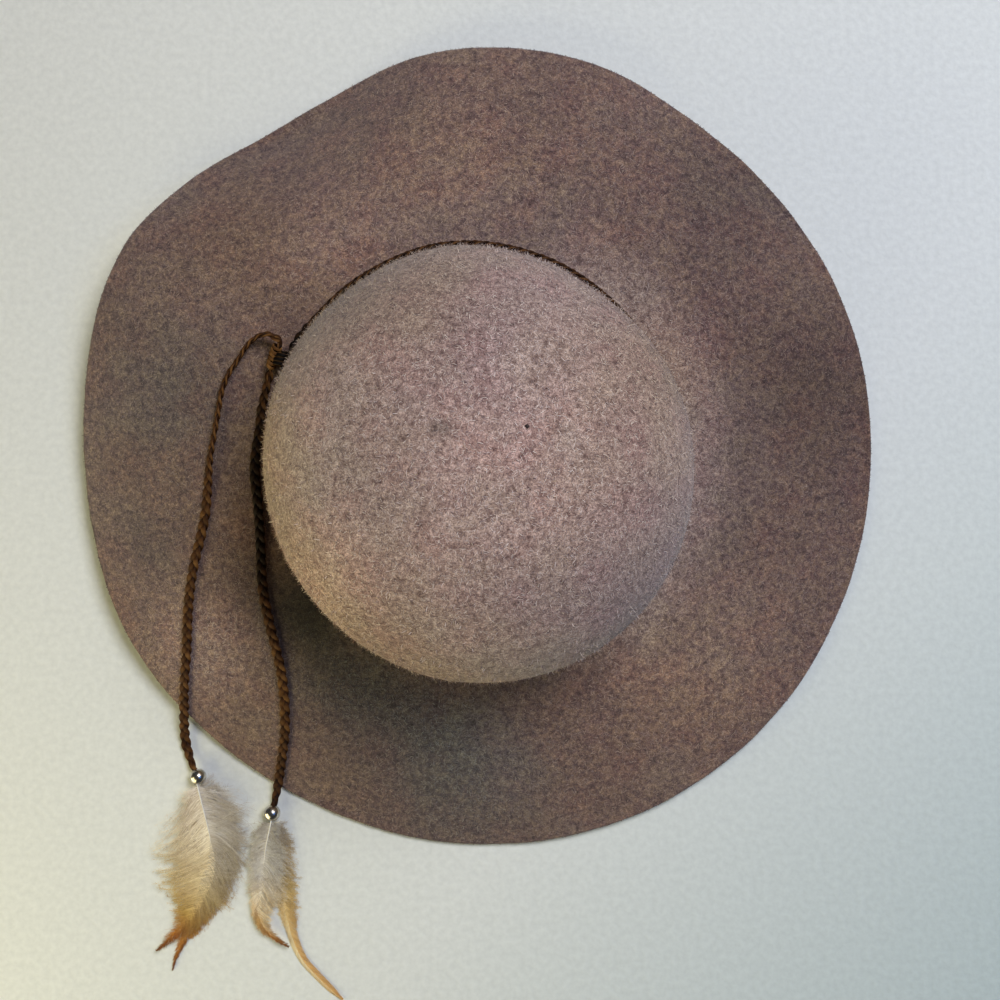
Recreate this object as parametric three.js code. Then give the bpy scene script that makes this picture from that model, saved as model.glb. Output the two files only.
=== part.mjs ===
// Floppy wool-felt hat standing on its wavy brim, with a braided leather cord tied round the crown.
// The two ends of the cord cross the brim and lie on the ground, each with a metal bead and feathers.
// Millimetres, +Z up. The knot is on the -X side and the cord ends run towards -Y.
// The origin is on the ground, under the middle of the hat.
import * as THREE from 'three';

// Felt: crown and brim are one blocked piece
const FELT_THICKNESS = 2;
const CROWN_HEIGHT = 108;
const CROWN_HALF_WIDTH = 93;
const CROWN_HALF_LENGTH = 94.5;
const CROWN_WIDEST_HEIGHT = 30;
const CROWN_WAIST = 3;
const CROWN_SIDE_ROUNDNESS = 2.2;
const CROWN_TOP_ROUNDNESS = 2.4;
const CROWN_SWAY = { x: 4.4, y: -9.4 };
const CROWN_SWAY_HEIGHT = 35;
const FOOT_RADIUS = 5;
const BRIM_WIDTH = 102;
const BRIM_BEND_POWER = 1.6;
const BRIM_REACH_LOSS = 0.58;

// Braided leather cord: a flat braid round the crown, knotted, with two loose ends
const CLEARANCE = 0.3;
const BRAID_WIDTH = 4.8;
const BRAID_THICKNESS = 2.4;
const BAND_HEIGHT = 7.6;
const KNOT_ANGLE = 155;
const KNOT_LENGTH = 11;
const KNOT_RADIUS = 3.5;
const KNOT_NECK = 1.9;
const KNOT_TURNS = 3;
const KNOT_RIDGE = 0.5;
const KNOT_DROP = 2.2;
const TIE_DIAMETER = 3.4;
const TIE_SIDES = 8;
const TIE_STEP = 7;

// The middle line of each loose end, from the knot over the brim and down to the ground
const LEFT_TIE_ROUTE = [
  [-86.1, 47.2, 45.6],
  [-89.0, 49.7, 45.6],
  [-93.4, 50.6, 44.6],
  [-97.9, 49.0, 43.2],
  [-101.9, 45.8, 42.0],
  [-105.4, 40.8, 41.0],
  [-111.3, 32.4, 39.9],
  [-114.3, 24.6, 39.3],
  [-115.8, 16.4, 38.8],
  [-117.9, 5.8, 38.1],
  [-120.0, -4.4, 37.2],
  [-121.9, -20.1, 35.7],
  [-123.5, -30.7, 34.4],
  [-126.3, -42.4, 32.9],
  [-129.6, -53.7, 30.8],
  [-132.0, -64.2, 28.8],
  [-133.7, -74.2, 26.6],
  [-135.1, -86.9, 23.5],
  [-136.6, -98.2, 20.1],
  [-138.1, -107.2, 16.9],
  [-139.8, -118.4, 12.6],
  [-140.8, -127.0, 9.3],
  [-141.3, -132.0, 7.2],
  [-141.8, -137.5, 4.4],
  [-141.8, -142.0, 2.7],
  [-141.2, -145.8, 2.1],
  [-139.9, -149.6, 2.2],
  [-137.4, -155.1, 3.4],
];
const RIGHT_TIE_ROUTE = [
  [-91.0, 33.8, 43.9],
  [-92.4, 28.5, 42.7],
  [-94.3, 21.8, 41.2],
  [-95.8, 16.2, 40.3],
  [-96.9, 7.0, 39.9],
  [-98.7, -3.1, 39.3],
  [-99.4, -13.2, 38.7],
  [-98.3, -25.2, 37.9],
  [-97.4, -39.5, 36.9],
  [-97.2, -50.1, 36.0],
  [-97.0, -60.9, 34.8],
  [-96.0, -71.7, 33.3],
  [-94.1, -82.6, 31.4],
  [-91.8, -93.6, 29.2],
  [-89.9, -104.7, 26.5],
  [-89.1, -118.0, 22.6],
  [-89.5, -127.7, 19.3],
  [-90.5, -137.7, 15.4],
  [-92.6, -147.7, 11.0],
  [-94.5, -156.2, 7.1],
  [-95.6, -161.0, 5.2],
  [-96.7, -165.5, 3.4],
  [-97.4, -168.8, 2.8],
  [-98.0, -171.9, 3.2],
];

// Round metal beads that the cord's ends and the feathers' quills go into
const BEAD_RADIUS = 4;
const LEFT_BEAD = [-135.2, -158.9, BEAD_RADIUS];
const RIGHT_BEAD = [-98.9, -176.2, BEAD_RADIUS];

// Feathers: the shaft's place at each section, with the vane's reach to its left and right seen
// from above along the shaft
const FEATHER_SHAFT_THICKNESS = 1.5;
const FEATHER_SHAFT_SHARE = 0.12;
const FEATHER_EDGE_THICKNESS = 0.5;
const FEATHER_LEAST_REACH = 0.5;
const FEATHER_BARB_SWEEP = 0.45;
const LOCK_DEPTH = 0.16;
const LOCK_SECTIONS = [0, 0.5, 0.92];
const LEFT_UPPER_FEATHER = {
  locks: 7,
  sections: [
    { x: -135.1, y: -163.3, z: 5.2, left: 0.8, right: 0.8 },
    { x: -133.6, y: -170.1, z: 4.7, left: 10, right: 9 },
    { x: -131.3, y: -179.9, z: 4.0, left: 16, right: 17 },
    { x: -129.2, y: -190.5, z: 3.5, left: 16, right: 21 },
    { x: -129.0, y: -201.0, z: 3.4, left: 15, right: 22 },
    { x: -132.4, y: -213.1, z: 3.4, left: 12, right: 20 },
    { x: -139.3, y: -227.3, z: 3.4, left: 7, right: 13 },
    { x: -149.0, y: -237.9, z: 3.3, left: 3, right: 5 },
    { x: -156.6, y: -244.7, z: 3.2, left: 0.6, right: 0.6 },
  ],
};
const LEFT_LOWER_FEATHER = {
  locks: 8,
  sections: [
    { x: -135.1, y: -163.2, z: 2.7, left: 0.8, right: 0.8 },
    { x: -132.9, y: -174.0, z: 1.4, left: 9, right: 6 },
    { x: -130.6, y: -188.0, z: 1.0, left: 15, right: 11 },
    { x: -129.8, y: -201.0, z: 1.0, left: 16, right: 12 },
    { x: -131.1, y: -213.4, z: 1.0, left: 12, right: 11 },
    { x: -136.4, y: -228.0, z: 1.0, left: 8, right: 9 },
    { x: -143.4, y: -240.3, z: 1.0, left: 3, right: 4 },
    { x: -147.3, y: -249.2, z: 1.0, left: 1.2, right: 1.6 },
    { x: -148.9, y: -255.5, z: 1.0, left: 0.6, right: 0.6 },
  ],
};
const RIGHT_UPPER_FEATHER = {
  locks: 6,
  sections: [
    { x: -99.2, y: -180.6, z: 5.2, left: 0.8, right: 0.8 },
    { x: -100.2, y: -185.0, z: 4.7, left: 5, right: 5 },
    { x: -101.9, y: -192.7, z: 4.0, left: 8, right: 8 },
    { x: -103.2, y: -202.1, z: 3.6, left: 8, right: 7 },
    { x: -105.0, y: -213.8, z: 3.4, left: 5, right: 4 },
    { x: -105.6, y: -222.5, z: 3.4, left: 3.5, right: 3.5 },
    { x: -103.2, y: -230.7, z: 3.4, left: 3, right: 3 },
    { x: -97.6, y: -236.9, z: 3.4, left: 2, right: 2 },
    { x: -90.3, y: -241.8, z: 3.2, left: 0.6, right: 0.6 },
  ],
};
const RIGHT_LOWER_FEATHER = {
  locks: 9,
  sections: [
    { x: -98.9, y: -180.6, z: 2.7, left: 0.8, right: 0.8 },
    { x: -98.4, y: -190.0, z: 1.2, left: 7, right: 6 },
    { x: -97.1, y: -200.7, z: 1.0, left: 7, right: 6 },
    { x: -95.2, y: -211.9, z: 1.0, left: 5, right: 4 },
    { x: -92.7, y: -224.0, z: 1.0, left: 3.5, right: 2.5 },
    { x: -89.4, y: -237.6, z: 1.0, left: 2.2, right: 1.8 },
    { x: -84.4, y: -248.2, z: 1.0, left: 1.6, right: 1.4 },
    { x: -77.4, y: -255.9, z: 1.0, left: 1.3, right: 1.3 },
    { x: -70.4, y: -262.6, z: 1.0, left: 1.1, right: 1.1 },
    { x: -64.2, y: -268.0, z: 1.0, left: 0.5, right: 0.5 },
  ],
};

// How the hat stands: the brim folds tip it a little, and lift its break line off the ground
const LEAN_DEGREES = 4.5;
const LEAN_TOWARDS_DEGREES = -38;
const BREAK_HEIGHT = 31.6;
const BREAK_CENTRE = { x: 0, y: -0.2 };

// How far the soft crown is pressed in from a true oval, round the hat
const CROWN_DENTS = [
  { angle: 0, inwards: -0.5 },
  { angle: 28, inwards: 2 },
  { angle: 56, inwards: 7 },
  { angle: 76, inwards: 4.5 },
  { angle: 98, inwards: 1 },
  { angle: 122, inwards: 2 },
  { angle: 160, inwards: -0.5 },
  { angle: 220, inwards: 0.5 },
  { angle: 270, inwards: -1 },
  { angle: 315, inwards: -2.5 },
];

// How far the brim's edge hangs below the break line, round the hat
const BRIM_FOLDS = [
  { angle: 0, droop: 20 },
  { angle: 18, droop: 21.5 },
  { angle: 36, droop: 27.5 },
  { angle: 50, droop: 30 },
  { angle: 60, droop: 29 },
  { angle: 70, droop: 25 },
  { angle: 88, droop: 27.5 },
  { angle: 100, droop: 33 },
  { angle: 110, droop: 43 },
  { angle: 120, droop: 48.5 },
  { angle: 130, droop: 41 },
  { angle: 140, droop: 31 },
  { angle: 152, droop: 22 },
  { angle: 170, droop: 29 },
  { angle: 188, droop: 31 },
  { angle: 208, droop: 26 },
  { angle: 228, droop: 28 },
  { angle: 248, droop: 27.5 },
  { angle: 268, droop: 21.5 },
  { angle: 290, droop: 15 },
  { angle: 318, droop: 12 },
  { angle: 342, droop: 16.5 },
];

// Mesh fineness
const SPOKES = 72;
const BRIM_STATIONS = [1, 0.965, 0.93, 0.85, 0.75, 0.64, 0.52, 0.4, 0.28, 0.15, 0];
const FOOT_STEPS = 3;
const WALL_STEPS = 2;
const DOME_STEPS = 9;
const DOME_LAST_DEGREES = 86;
const BRAID_SIDES = 8;
const KNOT_SIDES = 10;
const KNOT_SECTIONS = 14;
const BEAD_SIDES = 16;
const BEAD_ROWS = 10;

const radians = THREE.MathUtils.degToRad;

// Smooth closed curve through one column of a table whose rows go once round the hat
function roundTheHat(rows, column, degrees) {
  const count = rows.length;
  const turn = THREE.MathUtils.euclideanModulo(degrees, 360);
  let index = rows.findIndex((row) => row.angle > turn) - 1;
  if (index < 0) index = count - 1;
  const row = (step) => rows[(index + step + count) % count];
  const ahead = (from, to) => THREE.MathUtils.euclideanModulo(to.angle - from.angle, 360);
  const [before, start, end, after] = [row(-1), row(0), row(1), row(2)];
  const span = ahead(start, end);
  const t = THREE.MathUtils.euclideanModulo(turn - start.angle, 360) / span;
  const startSlope = (end[column] - before[column]) / ahead(before, end);
  const endSlope = (after[column] - start[column]) / ahead(start, after);
  const hermite = [2 * t ** 3 - 3 * t ** 2 + 1, t ** 3 - 2 * t ** 2 + t, 3 * t ** 2 - 2 * t ** 3, t ** 3 - t ** 2];
  return hermite[0] * start[column] + hermite[1] * span * startSlope
    + hermite[2] * end[column] + hermite[3] * span * endSlope;
}

// Solid through a row of rings with equal point counts: its two ends are closed by fans, or, as a
// hoop, its last ring goes on to its first
function loft(rings, hoop = false) {
  const count = rings[0].length;
  const positions = [];
  const indices = [];
  for (const ring of rings) {
    for (const point of ring) positions.push(point.x, point.y, point.z);
  }
  const spans = hoop ? rings.length : rings.length - 1;
  for (let i = 0; i < spans; i += 1) {
    const next = (i + 1) % rings.length;
    for (let j = 0; j < count; j += 1) {
      const k = (j + 1) % count;
      indices.push(i * count + j, i * count + k, next * count + k);
      indices.push(i * count + j, next * count + k, next * count + j);
    }
  }
  for (const end of hoop ? [] : [0, rings.length - 1]) {
    const centre = new THREE.Vector3();
    for (const point of rings[end]) centre.addScaledVector(point, 1 / count);
    const hub = positions.length / 3;
    positions.push(centre.x, centre.y, centre.z);
    for (let j = 0; j < count; j += 1) {
      const a = end * count + j;
      const b = end * count + (j + 1) % count;
      if (end === 0) indices.push(hub, b, a);
      else indices.push(hub, a, b);
    }
  }
  const geometry = new THREE.BufferGeometry();
  geometry.setAttribute('position', new THREE.Float32BufferAttribute(positions, 3));
  geometry.setIndex(indices);
  geometry.computeVertexNormals();
  return geometry;
}

// The crown's half-width gained or lost at a height above the break line, as a share of its widest
function crownShare(height) {
  const above = (height - CROWN_WIDEST_HEIGHT) / (CROWN_HEIGHT - CROWN_WIDEST_HEIGHT);
  if (above > 0) return (1 - above ** CROWN_TOP_ROUNDNESS) ** (1 / CROWN_SIDE_ROUNDNESS);
  const below = (CROWN_WIDEST_HEIGHT - height) / CROWN_WIDEST_HEIGHT;
  return 1 - (CROWN_WAIST / CROWN_HALF_WIDTH) * below ** 2;
}

// A point at an angle round the hat, on the crown's outer wall or a distance outside it
function besideCrown(degrees, height, outside) {
  const angle = radians(degrees);
  const wallHeight = Math.max(height, FOOT_RADIUS);
  const share = crownShare(wallHeight);
  const sway = 1 - Math.exp(-Math.max(height, 0) / CROWN_SWAY_HEIGHT);
  const offset = outside - roundTheHat(CROWN_DENTS, 'inwards', degrees) * sway * share;
  return new THREE.Vector3(
    (CROWN_HALF_WIDTH * share + offset) * Math.cos(angle) + CROWN_SWAY.x * sway,
    (CROWN_HALF_LENGTH * share + offset) * Math.sin(angle) + CROWN_SWAY.y * sway,
    height,
  );
}

// The hat's outer face: stage 0 is the brim from edge to foot, 1 the foot's fillet, 2 the wall, 3 the dome
function outerFace(degrees, stage, share) {
  if (stage === 0) {
    const droop = roundTheHat(BRIM_FOLDS, 'droop', degrees);
    const reach = BRIM_WIDTH - FOOT_RADIUS - BRIM_REACH_LOSS * droop ** 2 / BRIM_WIDTH;
    const height = -droop * share ** BRIM_BEND_POWER;
    return besideCrown(degrees, height, FOOT_RADIUS + reach * share);
  }
  if (stage === 1) {
    const sweep = radians(90 * share);
    const outside = FOOT_RADIUS * (1 - Math.sin(sweep));
    return besideCrown(degrees, FOOT_RADIUS * (1 - Math.cos(sweep)), outside);
  }
  if (stage === 2) {
    return besideCrown(degrees, THREE.MathUtils.lerp(FOOT_RADIUS, CROWN_WIDEST_HEIGHT, share), 0);
  }
  const rise = Math.sin(radians(DOME_LAST_DEGREES * share)) ** (2 / CROWN_TOP_ROUNDNESS);
  return besideCrown(degrees, THREE.MathUtils.lerp(CROWN_WIDEST_HEIGHT, CROWN_HEIGHT, rise), 0);
}

// Where a ring of the felt lies, as a stage of the outer face and a share of that stage
function feltStations() {
  const stations = BRIM_STATIONS.map((share) => ({ stage: 0, share }));
  const stages = [{ stage: 1, steps: FOOT_STEPS }, { stage: 2, steps: WALL_STEPS }, { stage: 3, steps: DOME_STEPS }];
  for (const { stage, steps } of stages) {
    for (let step = 1; step <= steps; step += 1) stations.push({ stage, share: step / steps });
  }
  return stations;
}

// The way out of the felt at a station, from two short steps across the outer face
function outwards(degrees, { stage, share }) {
  const turn = 0.5;
  const step = 0.01;
  const along = outerFace(degrees + turn, stage, share).sub(outerFace(degrees - turn, stage, share));
  const low = Math.max(share - step, 0);
  const high = Math.min(share + step, 1);
  const [inner, outer] = stage === 0 ? [low, high] : [high, low];
  const across = outerFace(degrees, stage, outer).sub(outerFace(degrees, stage, inner));
  return across.cross(along).normalize();
}

// From the hat's own frame, with its break line level, to the way it stands on the ground
const leanAxis = new THREE.Vector3(
  -Math.sin(radians(LEAN_TOWARDS_DEGREES)),
  Math.cos(radians(LEAN_TOWARDS_DEGREES)),
  0,
);
function standing(point) {
  const placed = point.clone().applyAxisAngle(leanAxis, radians(LEAN_DEGREES));
  placed.x += BREAK_CENTRE.x;
  placed.y += BREAK_CENTRE.y;
  placed.z += BREAK_HEIGHT;
  return placed;
}

// One ring of the felt, on its outer or inner face; where the brim lands, the ground flattens it
function feltRing(station, depth) {
  const ring = [];
  const ground = FELT_THICKNESS - depth;
  for (let spoke = 0; spoke < SPOKES; spoke += 1) {
    const degrees = 360 * spoke / SPOKES;
    const point = outerFace(degrees, station.stage, station.share);
    point.addScaledVector(outwards(degrees, station), -depth);
    const placed = standing(point);
    placed.z = Math.max(placed.z, ground);
    ring.push(placed);
  }
  return ring;
}

function feltBody() {
  const stations = feltStations();
  const innerFace = stations.map((station) => feltRing(station, FELT_THICKNESS));
  const outer = stations.map((station) => feltRing(station, 0));
  return loft([...innerFace.reverse(), ...outer]);
}

// Where the braid's middle line runs at an angle round the crown, with the wall's own directions there
const BAND_STATION = { stage: 2, share: (BAND_HEIGHT - FOOT_RADIUS) / (CROWN_WIDEST_HEIGHT - FOOT_RADIUS) };
function besideBand(degrees, distance) {
  const out = outwards(degrees, BAND_STATION);
  const point = outerFace(degrees, BAND_STATION.stage, BAND_STATION.share).addScaledVector(out, distance);
  const ahead = new THREE.Vector3(-Math.sin(radians(degrees)), Math.cos(radians(degrees)), 0);
  return { point, out, ahead, up: out.clone().cross(ahead).normalize() };
}

// The braid's flat section about a middle point, with its flat sides at the full width and thickness
function braidRing(middle, wide, thick) {
  const ring = [];
  const corner = 0.5 / Math.cos(Math.PI / BRAID_SIDES);
  for (let side = 0; side < BRAID_SIDES; side += 1) {
    const angle = 2 * Math.PI * (side + 0.5) / BRAID_SIDES;
    const point = middle.clone().addScaledVector(wide, corner * BRAID_WIDTH * Math.cos(angle));
    ring.push(point.addScaledVector(thick, corner * BRAID_THICKNESS * Math.sin(angle)));
  }
  return ring;
}

function bandBody() {
  const rings = [];
  for (let spoke = 0; spoke < SPOKES; spoke += 1) {
    const { point, out, up } = besideBand(360 * spoke / SPOKES, CLEARANCE + BRAID_THICKNESS / 2);
    rings.push(braidRing(point, up, out).map(standing));
  }
  return loft(rings, true);
}

// The knot is a short wrapped barrel against the band, with a ridge for each turn of the cord
function knotBody() {
  const outside = 2 * CLEARANCE + BRAID_THICKNESS + KNOT_RADIUS + KNOT_RIDGE;
  const { point, out, ahead, up } = besideBand(KNOT_ANGLE, outside);
  point.addScaledVector(up, -KNOT_DROP);
  const rings = [];
  for (let section = 0; section <= KNOT_SECTIONS; section += 1) {
    const share = section / KNOT_SECTIONS;
    const swell = Math.sqrt(Math.sin(Math.PI * share));
    const ridge = KNOT_RIDGE * Math.abs(Math.sin(KNOT_TURNS * Math.PI * share));
    const radius = THREE.MathUtils.lerp(KNOT_NECK, KNOT_RADIUS, swell) + ridge;
    const middle = point.clone().addScaledVector(ahead, KNOT_LENGTH * (share - 0.5));
    const ring = [];
    for (let side = 0; side < KNOT_SIDES; side += 1) {
      const angle = 2 * Math.PI * side / KNOT_SIDES;
      const spot = middle.clone().addScaledVector(up, radius * Math.cos(angle));
      ring.push(spot.addScaledVector(out, radius * Math.sin(angle)));
    }
    rings.push(ring.map(standing));
  }
  return loft(rings);
}

// A loose end of the cord: one tube along the smooth curve through its route
function tieBody(route) {
  const points = route.map(([x, y, z]) => new THREE.Vector3(x, y, z));
  const path = new THREE.CatmullRomCurve3(points, false, 'centripetal');
  const outline = new THREE.Shape();
  for (let side = 0; side < TIE_SIDES; side += 1) {
    const angle = 2 * Math.PI * side / TIE_SIDES;
    const corner = [0.5 * TIE_DIAMETER * Math.cos(angle), 0.5 * TIE_DIAMETER * Math.sin(angle)];
    if (side === 0) outline.moveTo(...corner);
    else outline.lineTo(...corner);
  }
  const steps = Math.ceil(path.getLength() / TIE_STEP);
  return new THREE.ExtrudeGeometry(outline, { steps, extrudePath: path, bevelEnabled: false });
}

// A value between a feather's sections, on a smooth curve through one column of its table
function alongFeather(sections, column, share) {
  const place = share * (sections.length - 1);
  const index = Math.min(Math.floor(place), sections.length - 2);
  const t = place - index;
  const at = (step) => sections[THREE.MathUtils.clamp(index + step, 0, sections.length - 1)][column];
  const slopeIn = (at(1) - at(-1)) / 2;
  const slopeOut = (at(2) - at(0)) / 2;
  return (2 * t ** 3 - 3 * t ** 2 + 1) * at(0) + (t ** 3 - 2 * t ** 2 + t) * slopeIn
    + (3 * t ** 2 - 2 * t ** 3) * at(1) + (t ** 3 - t ** 2) * slopeOut;
}

// A feather is its shaft with the vane's locks of barbs joined to both sides, each lock swept forwards
function featherBody({ locks, sections }) {
  const shaftPoint = (share) => new THREE.Vector3(
    alongFeather(sections, 'x', share),
    alongFeather(sections, 'y', share),
    alongFeather(sections, 'z', share),
  );
  const shares = [];
  for (let lock = 0; lock < locks; lock += 1) {
    for (const part of LOCK_SECTIONS) shares.push({ share: (lock + part) / locks, part });
  }
  shares.push({ share: 1, part: 1 });
  const step = 0.02;
  const rings = shares.map(({ share, part }) => {
    const middle = shaftPoint(share);
    const ahead = shaftPoint(Math.min(share + step, 1)).sub(shaftPoint(Math.max(share - step, 0)));
    ahead.setZ(0).normalize();
    const leftwards = new THREE.Vector3(-ahead.y, ahead.x, 0);
    const fullness = 1 - LOCK_DEPTH * (1 - part);
    const spot = (across, height) => {
      const reach = across > 0 ? alongFeather(sections, 'left', share) : alongFeather(sections, 'right', share);
      const sideways = across * Math.max(reach, FEATHER_LEAST_REACH) * fullness;
      const point = middle.clone().addScaledVector(leftwards, sideways);
      point.addScaledVector(ahead, FEATHER_BARB_SWEEP * Math.abs(sideways) * share * (1 - share));
      point.z += height;
      return point;
    };
    const thick = FEATHER_SHAFT_THICKNESS / 2;
    const thin = FEATHER_EDGE_THICKNESS / 2;
    const near = FEATHER_SHAFT_SHARE;
    return [
      spot(1, -thin), spot(1, thin), spot(near, thick), spot(-near, thick),
      spot(-1, thin), spot(-1, -thin), spot(-near, -thick), spot(near, -thick),
    ];
  });
  return loft(rings);
}

function beadBody() {
  return new THREE.SphereGeometry(BEAD_RADIUS, BEAD_SIDES, BEAD_ROWS);
}

function finish(colour, roughness, metalness) {
  return new THREE.MeshStandardMaterial({ color: colour, roughness, metalness });
}

const feltFinish = finish(0x8d7a72, 0.95, 0);
const leatherFinish = finish(0x4a2f1b, 0.6, 0);
const metalFinish = finish(0xc9c7c2, 0.15, 1);
const paleFeatherFinish = finish(0xcdbd9a, 0.8, 0);
const goldenFeatherFinish = finish(0xb5a070, 0.8, 0);

const hat = new THREE.Group();

function addPiece(name, geometry, material, place = [0, 0, 0]) {
  const piece = new THREE.Mesh(geometry, material);
  piece.name = name;
  piece.position.set(...place);
  hat.add(piece);
}

addPiece('felt_body', feltBody(), feltFinish);
addPiece('hat_band', bandBody(), leatherFinish);
addPiece('band_knot', knotBody(), leatherFinish);
addPiece('tie_left', tieBody(LEFT_TIE_ROUTE), leatherFinish);
addPiece('tie_right', tieBody(RIGHT_TIE_ROUTE), leatherFinish);
addPiece('bead_left', beadBody(), metalFinish, LEFT_BEAD);
addPiece('bead_right', beadBody(), metalFinish, RIGHT_BEAD);
addPiece('feather_left_upper', featherBody(LEFT_UPPER_FEATHER), paleFeatherFinish);
addPiece('feather_left_lower', featherBody(LEFT_LOWER_FEATHER), goldenFeatherFinish);
addPiece('feather_right_upper', featherBody(RIGHT_UPPER_FEATHER), paleFeatherFinish);
addPiece('feather_right_lower', featherBody(RIGHT_LOWER_FEATHER), goldenFeatherFinish);

export default hat;
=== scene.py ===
# Floppy wool-felt hat with a braided leather cord, metal beads and feathers, seen from above.
import math

import bmesh
import bpy
import numpy as np
from mathutils import Matrix, Vector, noise
from mathutils.bvhtree import BVHTree


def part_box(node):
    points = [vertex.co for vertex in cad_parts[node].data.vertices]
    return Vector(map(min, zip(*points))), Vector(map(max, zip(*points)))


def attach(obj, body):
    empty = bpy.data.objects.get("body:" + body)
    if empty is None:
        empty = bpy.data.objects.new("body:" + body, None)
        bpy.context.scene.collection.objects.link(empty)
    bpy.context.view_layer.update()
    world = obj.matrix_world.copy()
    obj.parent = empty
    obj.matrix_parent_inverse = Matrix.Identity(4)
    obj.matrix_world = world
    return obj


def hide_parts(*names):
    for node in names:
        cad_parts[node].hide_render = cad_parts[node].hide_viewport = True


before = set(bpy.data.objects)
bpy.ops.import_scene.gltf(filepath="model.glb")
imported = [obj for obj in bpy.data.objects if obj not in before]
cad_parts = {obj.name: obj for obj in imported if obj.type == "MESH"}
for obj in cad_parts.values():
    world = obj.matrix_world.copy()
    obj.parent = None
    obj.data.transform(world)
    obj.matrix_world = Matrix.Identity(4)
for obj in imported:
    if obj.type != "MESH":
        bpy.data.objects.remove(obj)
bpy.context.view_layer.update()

MM = 0.001
BODY = "root"
UP = np.array((0.0, 0.0, 1.0))

# Camera, in the hat's own frame: nearly overhead, with the hat's back (+Y) at the top of the picture
CAMERA_PLACE = Vector((39.9, -26.7, 629.8)) * MM
CAMERA_AIM = Vector((12.9, -24.6, 30.2)) * MM
CAMERA_ANGLE = math.radians(42.03)

# Felt, in millimetres. Its facets are rounded over FELT_ROUNDING times
FELT_ROUNDING = 2
UNEVEN_SIZE = 24.0
UNEVEN_DEPTH = 0.35
ABOVE_HAT = 300
FLECK = (27.9, 3.0)
FLECK_RADIUS = 0.9
SMUDGE = (-4.6, 2.3)
# The brim's cut rim lies further out than this, and is looked for in so many directions
RIM_FROM_MIDDLE = 150
RIM_SECTORS = 240
# Where the crown's pale wool ends: how far over the band, and how far from its middle, mostly and to the right
PALE_OVER_BAND = (-6, -1)
PALE_MOSTLY = (103, 112)
PALE_TO_RIGHT = (94, 128)
# Soft blotches in the wool, partly its own uneven tone and partly painted light and shade: paler as painted
# light where the lamps fall on the felt's slopes, darker and greyer as painted shadow beside and below the
# crown.
# Columns: right, back, size, how much paler (over 1) or darker (under 1) it is there, and how much greyer (over
# 0) or yellower (under 0)
BRIM_TONE_AND_PAINTED_LIGHT = [
    (-5, 140, 44, 1.34, -0.4),
    (-140, 25, 38, 0.86, 0.4),
    # Painted light where the brim's lower left slope faces the low lamp
    (-126, -95, 26, 1.95, 0.35),
    (-104, -66, 15, 0.74, 0.1),
    (-152, -45, 16, 0.75, 0.15),
    # Painted shadow: darker and greyer in the hollow beside the crown's lower left and under the crown
    (-76, -75, 19, 0.34, 0.8),
    (-58, -108, 26, 0.9, 0.9),
    (-20, -124, 26, 1.24, 0.5),
    (-8, -157, 40, 0.96, 0.8),
    (160, 30, 40, 0.7, -0.2),
    (125, 120, 32, 0.8, 0.15),
    (92, 40, 26, 1.28, 0.0),
    (104, -106, 42, 1.34, -0.5),
    (-62, 95, 28, 1.36, -0.1),
    (-112, 98, 34, 1.1, -0.7),
]
CROWN_TONE_AND_PAINTED_LIGHT = [
    (14, -8, 46, 1.24, 0.0),
    (-18, 64, 34, 0.92, -0.6),
    (-84, -4, 24, 1.18, -0.8),
    (-32, -18, 28, 0.84, 0.0),
    # Painted light on the crown's lower left side, where the low lamp falls
    (-58, -56, 24, 1.38, 0.0),
    (66, -15, 34, 1.03, -0.4),
    (82, 34, 30, 0.94, -0.9),
    (-56, 60, 26, 0.84, -0.8),
]
# Loose fibres: how many, how wide, and their shades from 0, dark, to 1, pale, with the share that has each
CROWN_FIBRES = 38000
BRIM_FIBRES = 46000
RIM_FIBRES = 7000
CROWN_FUZZ_FIBRES = 7000
FLECK_FIBRES = 110
FIBRE_WIDTH = (0.14, 0.3)
WOOL_SHADES = [0.08, 0.3, 0.55, 0.85]
WOOL_SHARES = [0.24, 0.26, 0.28, 0.22]

# Braided cord, in millimetres
BRAID_WIDTH = 4.8
BRAID_THICKNESS = 2.4
BRAID_PITCH = 15.5
BRAID_STEP = 0.8
LACE_WIDTH = 2.6
LACE_THICKNESS = 1.1
LACE_SIDES = 10
TIE_GAP = 0.15
ROUTE_LIFT = 2.0
BAND_POINTS = 760
KNOT_SHIFT = (-1.2, 0.9, 0.1)
WRAP_WIDTH = 1.4
BIGHT_WIDTH = 1.9
WOUND_THICKNESS = 0.9
# The band is laid on the felt from this far out, and leans towards the brim by so many degrees, more by the knot
BAND_LAID_FROM = 108
BAND_LEAN = 4
BAND_LEAN_BY_KNOT = 45
# Painted light and shade on each loose end's leather, so many millimetres from the knot: blacker as painted
# shade where the right end lies along the crown's side, paler as painted light further down
TIE_PAINTED_LIGHT_AND_SHADE = {
    "left": [(0, 0.0), (240, 0.0)],
    "right": [(0, 0.0), (45, -0.3), (85, -0.35), (110, 0.0), (150, 0.22), (175, 0.06), (222, -0.05)],
}

# Beads, in millimetres
BEAD_RADIUS = 4.0
BEAD_BORE = 1.6
BEAD_ROUNDING = 0.35
BEAD_CENTRES = {"left": (-135.2, -158.9, 4.0), "right": (-98.9, -176.2, 4.0)}

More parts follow.
